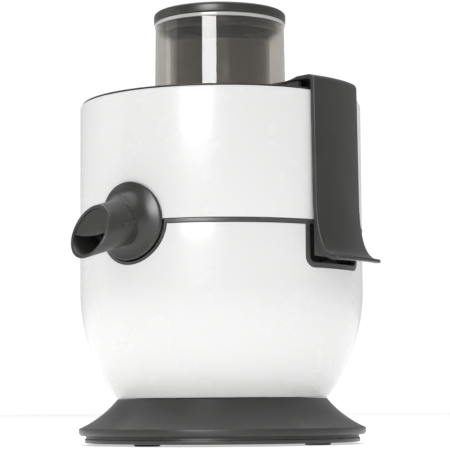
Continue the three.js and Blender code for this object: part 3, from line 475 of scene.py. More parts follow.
milky.node_tree.nodes["Principled BSDF"].inputs["Subsurface Scale"].default_value = 0.002
rubber = moulded(
    "matt_rubber",
    clean=(0.02, 0.02, 0.02),
    handled=(0.045, 0.044, 0.042),
    worn=(0.09, 0.09, 0.088),
    gloss=(0.72, 0.85),
    grain=1700.0,
    depth=0.4,
    wear=0.4,
    level=0.3,
)
frosted_lip = moulded(
    "frosted_lip_plastic",
    clean=(0.6, 0.59, 0.57),
    handled=(0.57, 0.56, 0.54),
    worn=(0.75, 0.75, 0.74),
    gloss=(0.16, 0.26),
    grain=1600.0,
    depth=0.06,
    wear=0.3,
    coat=0.3,
)
print("plastics:", [m.name for m in (white_gloss, grey_satin, black_satin, milky, rubber, frosted_lip)])

# %% [markdown]
# # Smoked clear plastic
# The feed tube is clear plastic with a warm smoke tint, and the pusher inside it is smoked darker. Tinting the
# transmission on the shader itself is simple and holds in every view: light is dimmed on each wall that it
# crosses, so the rim and the sides, where it crosses more wall, come out darker by themselves. A noise with a
# very small range keeps the tint and the polish from being perfectly even, as in a real moulding.


# %% Smoked plastic maker
def smoked(name, tint, deep_tint, gloss, index=1.49):
    material, tree, shader, where = start_material(name)
    cloud = put(tree, "TexNoise", {"Vector": where, "Scale": 30.0, "Detail": 3.0})
    color = put(
        tree, "Mix", {0: cloud.outputs["Fac"], 6: shade(*tint), 7: shade(*deep_tint)}, data_type="RGBA"
    )
    polish = put(
        tree, "MapRange", {"Value": cloud.outputs["Fac"], "To Min": gloss[0], "To Max": gloss[1]}
    )
    height = group_node(tree, grain_group, {"Vector": where, "Grain per metre": 240.0, "Ripple": 1.5})
    bump = put(tree, "Bump", {"Height": height.outputs["Height"], "Strength": 0.02, "Distance": 0.0002})
    tree.links.new(color.outputs[2], shader.inputs["Base Color"])
    tree.links.new(polish.outputs[0], shader.inputs["Roughness"])
    tree.links.new(bump.outputs["Normal"], shader.inputs["Normal"])
    shader.inputs["Transmission Weight"].default_value = 1.0
    shader.inputs["IOR"].default_value = index
    return material


smoked_tube = smoked("smoked_tube_plastic", (0.61, 0.59, 0.555), (0.59, 0.57, 0.53), (0.01, 0.035))
smoked_cup = smoked("smoked_pusher_plastic", (0.35, 0.34, 0.325), (0.32, 0.31, 0.295), (0.03, 0.07))
print("smoked plastics:", smoked_tube.name, smoked_cup.name)

# %% [markdown]
# # Metals
# The drive, the cutter and the screws are metal. Steel here is brushed, which stretches reflections across the
# brushing, so its roughness comes from a noise squeezed along one direction. Copper windings and stacked
# steel sheets show fine lines instead, which a wave pattern gives. An image texture would show more, but these
# pieces are seen only when the bowl or the lid is lifted.


# %% Metal maker
def metal(name, color, dull_color, gloss, stretch, scale, depth, lines=False):
    material, tree, shader, where = start_material(name)
    spread = put(tree, "Mapping", {"Vector": where, "Scale": stretch})
    if lines:
        pattern = put(
            tree,
            "TexWave",
            {"Vector": spread.outputs[0], "Scale": scale, "Distortion": 0.6, "Detail": 1.0},
            bands_direction="Z",
        )
    else:
        pattern = put(tree, "TexNoise", {"Vector": spread.outputs[0], "Scale": scale, "Detail": 6.0})
    tone = put(
        tree, "Mix", {0: pattern.outputs["Fac"], 6: shade(*dull_color), 7: shade(*color)}, data_type="RGBA"
    )
    edges = group_node(
        tree,
        wear_group,
        {"Vector": where, "Color": tone.outputs[2], "Worn color": shade(0.8, 0.8, 0.8), "Amount": 0.3},
    )
    polish = put(
        tree, "MapRange", {"Value": pattern.outputs["Fac"], "To Min": gloss[1], "To Max": gloss[0]}
    )
    bump = put(tree, "Bump", {"Height": pattern.outputs["Fac"], "Strength": depth, "Distance": 0.0003})
    tree.links.new(edges.outputs["Color"], shader.inputs["Base Color"])
    tree.links.new(polish.outputs[0], shader.inputs["Roughness"])
    tree.links.new(bump.outputs["Normal"], shader.inputs["Normal"])
    shader.inputs["Metallic"].default_value = 1.0
    return material


brushed_steel = metal(
    "brushed_steel", (0.66, 0.67, 0.68), (0.5, 0.51, 0.52), (0.22, 0.4), (1, 1, 14), 260.0, 0.12
)
steel_sheets = metal(
    "stacked_steel_sheets", (0.34, 0.35, 0.37), (0.12, 0.12, 0.13), (0.35, 0.6), (1, 1, 1), 320.0, 0.6, True
)
copper_wire = metal(
    "copper_winding", (0.72, 0.33, 0.15), (0.36, 0.13, 0.05), (0.25, 0.45), (1, 1, 1), 260.0, 0.8, True
)
cast_metal = metal(
    "die_cast_aluminium", (0.58, 0.59, 0.6), (0.44, 0.45, 0.46), (0.38, 0.62), (1, 1, 1), 480.0, 0.35
)
print("metals:", [m.name for m in (brushed_steel, steel_sheets, copper_wire, cast_metal)])

# %% [markdown]
# # Fitting a finished piece to the frame
# Each finished mesh is smoothed except at real edges, given its finish, and parented to the empty of the body it
# rides on, and the solids of the frame that it stands for are hidden. Doing this in one place means that no
# piece is forgotten.


# %% The fitting helper
def fit(piece, body, slot, material, *nodes, sharp=34):
    mesh = piece.data
    mesh.materials.clear()
    mesh.materials.append(material)
    mesh.shade_smooth()
    mesh.set_sharp_from_angle(angle=math.radians(sharp))
    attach(piece, body)
    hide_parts(*nodes)
    print(f"{piece.name}: {len(mesh.polygons)} faces on {body}")
    return piece


# %% [markdown]
# # The main sizes
# These are the housing's own sizes in millimetres, the same that the measured solids have: radii from the axis
# and heights above the table. Naming them once lets neighbouring pieces share a line, such as the seam between
# the two shells, instead of each guessing it.

# %% Housing sizes
BODY = 100.0
WALL = 2.6
WAIST = 73.7
WAIST_Z = 32.0
BELLY_Z = 108.0
SEAM_Z = 147.4
TRIM_LOW = 148.0
TRIM_TOP = 150.6
SPOUT_Z = 150.5
RIM_Z = 239.2
GAP = 0.4
BELLY_ARC = ((BELLY_Z - WAIST_Z) ** 2 + (BODY - WAIST) ** 2) / (2 * (BODY - WAIST))


def shell_radius(z):
    return BODY - BELLY_ARC + math.sqrt(BELLY_ARC**2 - (BELLY_Z - z) ** 2)


print("bulb curve radius", round(BELLY_ARC, 1), "mm")

# %% [markdown]
# # The foot: skirt, bottom cover, feet and screws
# The machine stands on a dark skirt that flares out from a narrow waist. One profile curve gives both faces of
# its wall, and its lower band is nearly upright with a soft lip that catches the light. The cover closes it
# from below, with slots that let the motor breathe and recesses for four rubber feet and four screws.

# %% The flared skirt
flare_out = sweep((101, 11.4), (84.6, 18.5), (WAIST, WAIST_Z), 26)
flare_in = sweep((98, 9.9), (81.6, 17.6), (WAIST - 3, WAIST_Z), 26)
skirt_profile = [(98, 6.5), (98.9, 6.5)] + arc(98.9, 8.6, 2.1, -90, 0, 8)[1:] + flare_out + flare_in[::-1]
skirt = turned("skirt", soften(skirt_profile, 0.5), 200)
fit(skirt, "root", "grey_plastic", grey_satin, "base_skirt")

# %% The bottom cover
cover_profile = [(0, 1.5), (97, 1.5), (97, 4.3), (96.2, 4.3), (96.2, 9.3), (93.2, 9.3), (93.2, 4.3), (0, 4.3)]
cover = turned("foot_cover", soften(cover_profile, 0.7), 192)
tools = []
for quarter in range(4):
    at_foot = turn(90 * quarter, "Z") @ shift(82, 0, 0)
    at_screw = turn(45 + 90 * quarter, "Z") @ shift(82, 0, 0)
    tools.append(rod(9.4, 0, 2.7, 48, at_foot))
    tools.append(turned("tool", [(0, 0), (3.7, 0), (3.7, 3.1), (1.9, 3.1), (1.9, 6), (0, 6)], 32, at_screw))
for slot_number in range(8):
    slot_outline = box_outline(17, 48, -1.5, 1.5, 1.45)
    tools.append(plate("tool", slot_outline, 0, 6, turn(22.5 + 45 * slot_number, "Z")))
cut(cover, *tools)
fit(cover, "root", "black_plastic", trim_grey, "bottom_cover")

# %% Feet and screws
for quarter in range(4):
    at_foot = turn(90 * quarter, "Z") @ shift(82, 0, 0)
    foot_profile = [(0, 0.25), (6.4, 0.25), (6.8, 0), (8.2, 0), (9, 0.9), (9, 2.3), (0, 2.3)]
    foot = turned(f"rubber_foot_piece_{quarter + 1}", soften(foot_profile, 0.3), 56, at_foot)
    fit(foot, "root", "rubber", rubber, f"rubber_foot_{quarter + 1}")
    at_screw = turn(45 + 90 * quarter, "Z") @ shift(82, 0, 0)
    screw_profile = [(0, 1.7), (2.2, 1.75), (3.3, 2.2), (3.3, 2.7), (1.5, 2.7), (1.5, 9.2), (0, 9.7)]
    screw = turned(f"cover_screw_piece_{quarter + 1}", soften(screw_profile, 0.2), 32, at_screw)
    cross = [
        plate("tool", box_outline(-1.7, 1.7, -0.35, 0.35), 1, 2.3, at_screw @ turn(angle, "Z"))
        for angle in (20, 110)
    ]
    cut(screw, *cross)
    fit(screw, "root", "steel", brushed_steel, f"cover_screw_{quarter + 1}")

# %% [markdown]
# # The dark dips in the seam
# The seam's trim dips twice: round under the spout, and square round the recess for the latch's lip. The same
# two shapes cut the shell, the trim and the recess's pocket, each a little larger or smaller, so they are made
# by two functions. Cutting with shared shapes keeps the width of the trim even all the way round.


# %% Shapes of the two dips
def spout_dip(radius):
    return rod(radius, BODY - 34, BODY + 10, 128, shift(0, 0, SPOUT_Z) @ turn(90, "X"))


def latch_dip(outset, start, top):
    side = 26.95 + outset
    low = 122 - outset
    corner = 4 + outset
    outline = [(-side, top)] + arc(-side + corner, low + corner, corner, 180, 270, 8)
    outline += arc(side - corner, low + corner, corner, 270, 360, 8) + [(side, top)]
    return plate("tool", outline, start, BODY + 10, turn(90, "Z") @ turn(90, "X"))


# %% [markdown]
# # The lower shell
# The white motor housing is a bulb: one long arc from the waist up to the belly, then upright to the seam. It
# could be sculpted, but turning an exact arc keeps its reflections smooth. The openings for the spout, the
# recess, the knob's stem and the mains inlet are cut afterwards, as they are in the mould.


# %% The white bulb
def bulb_wall(radius, start_z, steps=40):
    start = -math.degrees(math.asin((BELLY_Z - start_z) / radius))
    return arc(BODY - BELLY_ARC, BELLY_Z, radius, start, 0, steps)


knob_place = shift(-shell_radius(88), 0, 88) @ turn(-90, "Y")
gland_tilt = math.degrees(math.asin((BELLY_Z - 60) / BELLY_ARC))
gland_place = shift(0, shell_radius(60), 60) @ turn(-90 - gland_tilt, "X")
shell_top = TRIM_LOW - GAP
bulb_profile = bulb_wall(BELLY_ARC, WAIST_Z + GAP) + [(BODY, 127), (BODY, shell_top)]
bulb_profile += [(BODY - WALL, shell_top), (BODY - WALL, 127)]
bulb_profile += bulb_wall(BELLY_ARC - WALL, WAIST_Z + GAP)[::-1]
bulb = turned("motor_housing", soften(bulb_profile, 0.35), 256)
cut(
    bulb,
    spout_dip(29.4),
    latch_dip(3.4, 86, 165),
    rod(4.1, -10, 10, 48, knob_place),
    rod(7.4, -10, 10, 64, gland_place),
)
fit(bulb, "root", "white_plastic", white_gloss, "lower_shell", sharp=30)

# %% [markdown]
# # Trim and recess
# A dark trim caps the lower shell, runs round under the spout's root, and frames the recess as a bezel. A thin
# black pocket closes the recess behind. The trim is the band of the housing's wall, kept only where one of the
# three outlines needs it, and then opened by the two dips.

# %% The seam's trim
trim_profile = [(96.6, 118), (100.2, 118), (100.2, TRIM_TOP), (96.6, TRIM_TOP)]
trim = turned("seam_trim", soften(trim_profile, 0.5), 256)
keep_profile = [(95.6, TRIM_LOW), (101.2, TRIM_LOW), (101.2, TRIM_TOP + 1), (95.6, TRIM_TOP + 1)]
keep = turned("tool", keep_profile, 256)
join(keep, spout_dip(29.0), latch_dip(3, 86, TRIM_LOW + 1))
merge(trim, [keep], "INTERSECT")
cut(trim, spout_dip(27.4), latch_dip(0, 86, TRIM_LOW))
fit(trim, "root", "black_plastic", trim_grey, "rim_trim", sharp=30)

# %% The recess's pocket
pocket = latch_dip(2, 84, SEAM_Z - GAP)
pocket.name = "recess_pocket"
merge(pocket, [rod(96.2, 110, 160, 192)], "INTERSECT")
plunger_hole = shift(0, 0, 126.5) @ turn(90, "Y")
cut(
    pocket,
    latch_dip(0, 86, SEAM_Z - GAP - 2),
    rod(2.6, 70, 100, 32, plunger_hole),
)
fit(pocket, "root", "black_plastic", black_satin, "latch_pocket")

# %% [markdown]
# # The upper shell
# The white bowl housing is an upright ring with a rounded rim. It is one wall, so the profile is a thin loop.
# The round hole lets the juice duct reach the spout's root.

# %% The white bowl housing
upper_profile = [(97.4, 151), (BODY, 151), (BODY, 195), (BODY, RIM_Z - 1)]
upper_profile += [(99.2, RIM_Z), (98, RIM_Z), (97.4, RIM_Z - 0.6)]
upper = turned("bowl_housing", soften(upper_profile, 0.6), 256)
cut(upper, spout_dip(20.5))
fit(upper, "bowl", "white_plastic", white_gloss, "upper_shell", sharp=30)

# %% [markdown]
# # The spout's root
# The spout grows out of the housing like a trumpet: a round flange that follows the curved wall, narrowing to
# a neck that slopes down. A turned shape can't lean over, so this one is lofted through rings. Each ring says
# how far it reaches out, how wide it is, how much it tilts, and how closely it drapes on the round housing.

# %% Rings of the spout
SLOPE_ANGLE = 15
SLOPE = math.radians(SLOPE_ANGLE)
FLANGE_FRONT = 102.3
SHOULDER = 111.9
SLEEVE_BASE = SHOULDER + GAP
FLANGE = 26.5
SLEEVE = 15.7
SLEEVE_BORE = 13.5
NECK = SLEEVE_BORE - GAP
NECK_LENGTH = 10.5
SPOUT_BORE = 9
drop_at_base = (SLEEVE_BASE - BODY) * math.tan(SLOPE) * 0.74


def spout_ring(reach, radius, tilt=0.0, drop=0.0, drape=0.0, count=96):
    ring = []
    for i in range(count):
        angle = 2 * math.pi * i / count
        across = radius * math.cos(angle)
        up = radius * math.sin(angle)
        sag = BODY - math.sqrt(BODY**2 - across**2)
        out = reach - drape * sag + up * math.sin(tilt)
        ring.append((across, -out, SPOUT_Z - drop + up * math.cos(tilt)))
    return ring


def trumpet_ring(reach, radius):
    turn_share = max(0.0, (reach - FLANGE_FRONT) / (SHOULDER - FLANGE_FRONT))
    drape = max(0.0, (radius - SLEEVE) / (FLANGE - SLEEVE))
    return spout_ring(reach, radius, SLOPE * turn_share, drop_at_base * turn_share**2, drape)


rings = [spout_ring(100.4, FLANGE - 0.5, drape=1), spout_ring(100.6, FLANGE - 0.1, drape=1)]
rings += [spout_ring(101.6, FLANGE, drape=1), spout_ring(102.1, FLANGE - 0.2, drape=1)]
trumpet = sweep((FLANGE - 0.6, FLANGE_FRONT), (SLEEVE, FLANGE_FRONT + 1), (SLEEVE, SHOULDER - 0.3), 26)
rings += [trumpet_ring(reach, radius) for radius, reach in trumpet]
rings += [trumpet_ring(SHOULDER - 0.05, SLEEVE - 0.2), trumpet_ring(SHOULDER, SLEEVE - 0.5)]
rings += [trumpet_ring(SHOULDER, NECK)]
tip_reach = SHOULDER + NECK_LENGTH * math.cos(SLOPE)
tip_drop = drop_at_base + NECK_LENGTH * math.sin(SLOPE)
rings += [spout_ring(tip_reach, NECK, SLOPE, tip_drop), spout_ring(tip_reach, SPOUT_BORE, SLOPE, tip_drop)]
rings += [trumpet_ring(SHOULDER, SPOUT_BORE), spout_ring(100.4, SPOUT_BORE, drape=1)]
root = piece_from("spout_root", rings, True)
fit(root, "bowl", "grey_plastic", grey_satin, "spout_flange")

# %% [markdown]
# # The turning sleeve
# The sleeve slips over the neck and turns, so that the mouth can face up and stop the drips. Its end is cut
# slanted, and a flat cover closes the upper part of the mouth. Every point of the sleeve's end is moved along
# the axis by an amount that depends on its height, which gives the slanted cut without any boolean. A small
# raised tab on its side shows which way the mouth is turned.

# %% The sleeve and its mouth
sleeve_place = shift(0, -SLEEVE_BASE, SPOUT_Z - drop_at_base) @ turn(90 + SLOPE_ANGLE, "X")
SLEEVE_LENGTH = 28.2
MOUTH = math.tan(math.radians(37))


def mouth_depth(inset):
    return lambda x, y: SLEEVE_LENGTH - inset - y * MOUTH


def sleeve_ring(radius, inset, count=112):
    ring = []
    for i in range(count):
        angle = 2 * math.pi * i / count
        x, y = radius * math.cos(angle), radius * math.sin(angle)
        ring.append((x, y, mouth_depth(inset)(x, y)))
    return ring


def plain_ring(radius, z, count=112):
    angles = [2 * math.pi * i / count for i in range(count)]
    return [(radius * math.cos(a), radius * math.sin(a), z) for a in angles]


sleeve_rings = [plain_ring(SLEEVE_BORE, 0.3), plain_ring(SLEEVE_BORE + 0.3, 0), plain_ring(SLEEVE - 0.4, 0)]
sleeve_rings += [plain_ring(SLEEVE, 0.4), plain_ring(SLEEVE, 1.2)]
for radius, inset in ((SLEEVE, 0.9), (SLEEVE - 0.15, 0.3), (SLEEVE - 0.5, 0), (14, 0), (13.65, 0.25)):
    sleeve_rings.append(sleeve_ring(radius, inset))
sleeve_rings.append(sleeve_ring(SLEEVE_BORE, 0.7))
sleeve = piece_from("spout_sleeve", sleeve_rings, True, sleeve_place)
hood_edge = [(13.9 * t, -2.8 + 1.6 * t * t) for t in [k / 10 - 1 for k in range(21)]]
hood_outline = hood_edge + arc(0, 0, 13.95, -4.9, 184.9, 40)[1:-1]
hood = plate("tool", hood_outline, mouth_depth(2.8), mouth_depth(1.0), sleeve_place)
tab_outline = box_outline(0.6, 11.6, -1.5, 1.5, 0.9)
tab = plate("sleeve_tab", tab_outline, -SLEEVE - 1, -SLEEVE + 0.8, sleeve_place @ turn(-90, "Y"))
join(sleeve, hood)
fit(sleeve, "nozzle", "grey_plastic", grey_satin, "spout_nozzle")
soft_edges = tab.modifiers.new("soft_edges", "BEVEL")
soft_edges.width = 0.35 * MM
soft_edges.segments = 2
fit(tab, "nozzle", "grey_plastic", grey_satin)

# %% [markdown]
# # Lid and latch pin
# The lid is a dark dish that drops into the bowl housing. Only its thin bead shows from the side, as a dark
# line on the white rim. Two lugs stand on it near the feed tube and hold the steel pin that the latch turns
# on. The dish is turned, and the lugs are joined to it.

# %% The lid with its lugs
lid_profile = [(47.5, 232), (94.6, 232), (94.6, 230.2), (96.8, 230.2), (96.8, 239.6), (98.6, 239.6)]
lid_profile += [(98.6, 240.6), (94.6, 240.6), (89.6, 234.2), (47.5, 234.2)]
lid_piece = turned("lid_dish", soften(lid_profile, 0.5), 224)
PIN_Z = 238.4
pin_place = shift(60, 0, PIN_Z) @ turn(90, "X")
for start in (18.6, -22.4):
    lug = rod(3.6, start, start + 3.8, 48, pin_place)
    web = plate("tool", box_outline(57, 63, -start - 3.79, -start - 0.01), 233.2, PIN_Z)
    join(lid_piece, lug, web)
cut(lid_piece, rod(2.2, -23.4, 23.4, 32, pin_place))
fit(lid_piece, "lid", "black_plastic", black_satin, "lid")
pin_profile = [(0, -22.9), (1.3, -22.9), (1.8, -22.4), (1.8, 22.4), (1.3, 22.9), (0, 22.9)]
pin = turned("latch_hinge_pin", pin_profile, 32, pin_place)
fit(pin, "lid", "steel", brushed_steel, "latch_pin")
seal_profile = [(92.1, 223.6), (96.1, 223.6), (96.1, 229.8), (92.1, 229.8)]
seal = turned("lid_seal", soften(seal_profile, 1.2, 4), 160)
fit(seal, "lid", "rubber", rubber, "lid_gasket")

# %% [markdown]
# # Feed tube and pusher
# The feed tube is one clear moulding: a tapered wall above the lid, a flange under it, and a narrower chute
# inside the bowl. Clear pieces need a closed wall with both faces, or light would enter and never leave, so the
# profile runs down the inside too. The lip at its top is a pale polished ring. The pusher is a darker cup with a
# wide collar, closed by a satin cap.

# %% The feed tube
TUBE_TOP = 299.8
tube_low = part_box("feed_tube")[0].z / MM
tube_profile = [(42.4, tube_low), (44.5, tube_low), (44.5, 224.6), (46.9, 228.6), (53.9, 228.6)]
tube_profile += [(53.9, 231.6), (46.9, 231.6), (46.0, TUBE_TOP), (43.9, TUBE_TOP), (44.8, 228.6), (42.4, 224.6)]
tube = turned("feed_tube_wall", soften(tube_profile, 0.7, 4), 224)
fit(tube, "lid", "smoked_clear", smoked_tube, "feed_tube", sharp=50)
lip_profile = [(45.3, 297.3), (46.8, 297.3), (46.8, 299.9), (45.3, 299.9)]
tube_lip = turned("feed_tube_lip", soften(lip_profile, 0.5), 224)
fit(tube_lip, "lid", "smoked_clear", frosted_lip)

# %% The pusher
cup_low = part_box("pusher_cup")[0].z / MM
cup_profile = [(0, cup_low), (35.3, cup_low), (35.3, 283.8), (43.3, 290.8), (43.3, TUBE_TOP), (41.1, TUBE_TOP)]
cup_profile += [(41.1, 291.6), (33.1, 284.6), (33.1, cup_low + 2.2), (0, cup_low + 2.2)]
pusher_cup = turned("pusher_body", soften(cup_profile, 1.2, 4), 192)
fit(pusher_cup, "pusher", "smoked_dark", smoked_cup, "pusher_cup", sharp=50)
cap_profile = [(0, 294.2), (40.7, 294.2), (40.7, 300.2), (47.3, 300.2), (47.3, 304.7)]
cap_profile += arc(44.8, 304.7, 2.5, 0, 90, 6)[1:] + [(42.5, 307.2), (41.3, 306.5), (0, 306.1)]
cap = turned("pusher_cap_piece", soften(cap_profile, 0.6), 224)
fit(cap, "pusher", "grey_plastic", grey_satin, "pusher_cap")

# %% [markdown]
# # The latch lever
# The latch is one long moulding: an arm over the lid, a strap down the housing, and a lip that flares out for
# the fingers. Its section is drawn once, and each slice across its width lays that section on the round
# housing, so the strap stays parallel to the shell. A flat plate bent with a modifier would be simpler, but
# it wouldn't hug the wall. Webs, a nose and the hinge knuckles are joined to its inner face.


# %% Slices that lie on the round housing
def slice_piece(name, section, low, high, steps=24, square_from=57.0):
    """A section of (radius, height) points laid side by side between two widths."""
    grid = []
    for i in range(steps + 1):
        width = low + (high - low) * i / steps
        ring = []
        for radius, height in section:
            reach = math.sqrt(max(radius**2 - width**2, 0))
            ring.append((reach if radius > square_from + 0.01 else square_from, width, height))
        grid.append(ring)
    build = bmesh.new()
    rings = [[build.verts.new(to_frame @ Vector(point)) for point in ring] for ring in grid]
    for left, right in zip(rings, rings[1:]):
        for i in range(len(left)):
            j = (i + 1) % len(left)
            build.faces.new([left[i], left[j], right[j], right[i]])
    build.faces.new(rings[0])
    build.faces.new(rings[-1][::-1])
    return piece_of(build, name)


# %% The lever's section
INNER, OUTER = 100.6, 103.6
LATCH_TOP = 249.2
ARM_TOP = 246.4
LIP_Z = 122.4
LIP_END = 119.5
HALF = 25.75


def flare(start, reach, height, steps=22):
    return sweep((start, 165), (start, height), (reach, height), steps)


lever_section = [(LIP_END, LIP_Z), (LIP_END, LIP_Z + 2.5)]
lever_section += flare(OUTER, LIP_END - 0.5, LIP_Z + 2.5)[::-1]
lever_section += [(OUTER, 200)] + arc(OUTER - 5, LATCH_TOP - 5, 5, 0, 90, 8)
lever_section += sweep((OUTER - 14, LATCH_TOP - 0.4), (OUTER - 20, ARM_TOP), (OUTER - 28, ARM_TOP), 8)
lever_section += [(57, ARM_TOP), (57, ARM_TOP - 2.6), (OUTER - 28, ARM_TOP - 2.6)]
lever_section += [(OUTER - 16, LATCH_TOP - 3)]
lever_section += arc(INNER - 2.5, LATCH_TOP - 5.5, 2.5, 90, 0, 5) + [(INNER, 200)]
lever_section += flare(INNER, LIP_END - 3, LIP_Z)
lever = slice_piece("latch_strap", lever_section, -HALF, HALF)
rounded = lever.modifiers.new("rounded_edges", "BEVEL")
rounded.width = 0.7 * MM
rounded.segments = 3
rounded.limit_method = "ANGLE"
rounded.angle_limit = math.radians(40)
graph = bpy.context.evaluated_depsgraph_get()
lever_mesh = bpy.data.meshes.new_from_object(lever.evaluated_get(graph))
lever.modifiers.clear()
lever.data = lever_mesh
print("strap", len(lever.data.polygons), "faces")


# %% Webs, nose and knuckles behind the strap
def filling(radius):
    edge = flare(INNER + 1, LIP_END - 2, LIP_Z + 1)
    return [(radius, LIP_Z + 3.5), (LIP_END - 4, LIP_Z + 1)] + edge[::-1] + [(radius, 165)]


extras = []
for low, high in ((-HALF + 0.5, -HALF + 3), (HALF - 3, HALF - 0.5)):
    extras.append(slice_piece("tool", filling(INNER + 0.1), low, high, 6))
    rib = [(90.6, 241.6), (90.6, ARM_TOP - 1), (58, ARM_TOP - 1), (58, 241.6)]
    extras.append(slice_piece("tool", rib, low, high, 6, square_from=58))
nose = slice_piece("tool", filling(99.3), -12, 12, 12)
merge(nose, [plate("tool", box_outline(60, 121, -13, 13), 138.7, 146.7)], "INTERSECT")
tail = slice_piece("tool", filling(99.3), -3, 3, 4)
merge(tail, [plate("tool", box_outline(60, 121, -4, 4), 125.5, 145.7)], "INTERSECT")
extras += [nose, tail]
for start in (8, -18):
    extras.append(rod(3.6, start, start + 10, 48, pin_place))
    extras.append(plate("tool", box_outline(57.2, 63, -start - 9.99, -start - 0.01), PIN_Z, ARM_TOP - 1))
join(lever, *extras)
cut(lever, rod(2.2, -26, 26, 32, pin_place))
ajar = to_frame @ shift(60, 0, PIN_Z) @ turn(-0.7, "Y") @ shift(-60, 0, -PIN_Z) @ to_frame.inverted()
lever.data.transform(ajar)
fit(lever, "latch", "grey_plastic", grey_satin, "latch_lever", sharp=28)

# %% [markdown]
# # Knob, interlock plunger and mains inlet
# The knob is a turned dial with a fluted grip, whose flutes come from moving each point of the grip in and out
# with its angle. The plunger is what the latch's tail presses to let the motor run. The rubber gland at the
# back is where the mains lead enters.


# %% The fluted knob
def knob_flute(angle, radius, height):
    if 3.4 < height < 13.4 and 11.5 < radius < 15.2:
        return radius * (0.985 + 0.022 * math.cos(18 * angle))
    return radius


knob_profile = [(0, -16), (3.5, -16), (3.5, 2.2), (16, 2.2), (16, 4.8), (14.6, 5.6), (14.2, 6.4), (13.6, 9)]
knob_profile += [(13.1, 12.6), (12.6, 13.6), (11.6, 14.2), (0, 14.2)]
dial = turned("knob_dial", soften(knob_profile, 0.5), 216, knob_place, knob_flute)
fit(dial, "knob", "grey_plastic", grey_satin, "control_knob")
pointer = plate("knob_pointer", box_outline(3, 11.4, -0.7, 0.7, 0.65), 14.1, 14.8, knob_place)
fit(pointer, "knob", "white_plastic", white_gloss)

# %% Plunger and gland
plunger_profile = [(0, 74), (2, 74), (2, 97.9), (1.5, 98.5), (0, 98.7)]
plunger = turned("interlock_pin", plunger_profile, 40, plunger_hole)
fit(plunger, "interlock", "grey_plastic", grey_satin, "interlock_plunger")
gland_profile = [(3.6, -8.6), (7, -8.6), (7, 1), (10, 1), (10, 2), (9, 3.5), (6, 3.7), (5.6, 4.2)]
gland_profile.append((3.6, 4.2))
gland = turned("inlet_gland", soften(gland_profile, 0.45), 96, gland_place)
fit(gland, "root", "rubber", rubber, "mains_inlet_gland")

# %% [markdown]
# # Under the lid: bowl, pulp tub, basket and coupling
# Lifting the lid shows a milky bowl with a wall between juice and pulp, the pulp tub round it, and the filter
# basket on its hub. Turned profiles serve for all of them. The filter's holes are far too many to model, so
# its material cuts them out by angle and height, and the cutter's teeth are small raised blades.

# %% Juice bowl, pulp tub and gasket
wall_in, wall_out = 71.5, 74.0
bowl_profile = [(18, 139), (wall_out, 139), (wall_out, 160), (97, 160), (97, 162.5), (wall_out, 162.5)]
bowl_profile += [(wall_out, 196), (wall_in, 196), (wall_in, 141.5), (20.5, 141.5), (20.5, 163), (18, 163)]
bowl = turned("juice_bowl_piece", soften(bowl_profile, 0.6), 192)
duct_place = shift(0, 0, SPOUT_Z) @ turn(90, "X")
join(bowl, rod(11.8, 72.3, 97.3, 64, duct_place))
cut(bowl, rod(9, 65, 99, 64, duct_place))
fit(bowl, "bowl", "milky_plastic", milky, "juice_bowl")
tub_profile = [(74.6, 162.9), (94.1, 162.9), (94.1, 223.2), (92.1, 223.2), (92.1, 164.9), (76.6, 164.9)]
tub_profile += [(76.6, 199), (74.6, 199)]
tub = turned("pulp_tub_piece", soften(tub_profile, 0.6), 192)
fit(tub, "bowl", "milky_plastic", milky, "pulp_tub")
washer_profile = [(9.4, 97.8), (11.8, 97.8), (11.8, 99.2), (9.4, 99.2)]
washer = turned("spout_washer", soften(washer_profile, 0.4), 64, duct_place)
fit(washer, "bowl", "rubber", rubber, "spout_gasket")


# %% The filter's perforated steel
def perforated(rows_per_metre, holes_round, hole_size):
    """Steel with round holes in staggered rows, placed by angle and height."""
    material, tree, shader, where = start_material("perforated_steel")
    apart = put(tree, "SeparateXYZ", {0: where})
    east = put(tree, "Math", {0: apart.outputs["X"], 1: axis_x}, operation="SUBTRACT")
    north = put(tree, "Math", {0: apart.outputs["Y"], 1: axis_y}, operation="SUBTRACT")
    angle = put(tree, "Math", {0: north.outputs[0], 1: east.outputs[0]}, operation="ARCTAN2")
    column = put(tree, "Math", {0: angle.outputs[0], 1: holes_round / (2 * math.pi)}, operation="MULTIPLY")
    row = put(tree, "Math", {0: apart.outputs["Z"], 1: rows_per_metre}, operation="MULTIPLY")
    row_number = put(tree, "Math", {0: row.outputs[0]}, operation="FLOOR")
    stagger = put(tree, "Math", {0: row_number.outputs[0], 1: 0.5}, operation="MULTIPLY")
    shifted = put(tree, "Math", {0: column.outputs[0], 1: stagger.outputs[0]}, operation="ADD")
    across = put(tree, "Math", {0: shifted.outputs[0], 1: 0.5}, operation="PINGPONG")
    along_row = put(tree, "Math", {0: row.outputs[0], 1: 0.5}, operation="PINGPONG")
    spot = put(tree, "CombineXYZ", {"X": across.outputs[0], "Y": along_row.outputs[0]})
    distance = put(
        tree, "VectorMath", {0: spot.outputs[0], 1: (0.5, 0.5, 0)}, operation="DISTANCE"
    )
    solid = put(tree, "Math", {0: distance.outputs["Value"], 1: hole_size}, operation="GREATER_THAN")
    brushing = put(tree, "TexNoise", {"Vector": where, "Scale": 300.0, "Detail": 4.0})
    tone = put(
        tree,
        "Mix",
        {0: brushing.outputs["Fac"], 6: shade(0.5, 0.51, 0.52), 7: shade(0.68, 0.69, 0.7)},
        data_type="RGBA",
    )
    polish = put(tree, "MapRange", {"Value": brushing.outputs["Fac"], "To Min": 0.24, "To Max": 0.42})
    tree.links.new(tone.outputs[2], shader.inputs["Base Color"])
    tree.links.new(polish.outputs[0], shader.inputs["Roughness"])
    tree.links.new(solid.outputs[0], shader.inputs["Alpha"])
    shader.inputs["Metallic"].default_value = 1.0
    return material


filter_steel = perforated(rows_per_metre=620, holes_round=180, hole_size=0.3)
print("filter finish:", filter_steel.name)

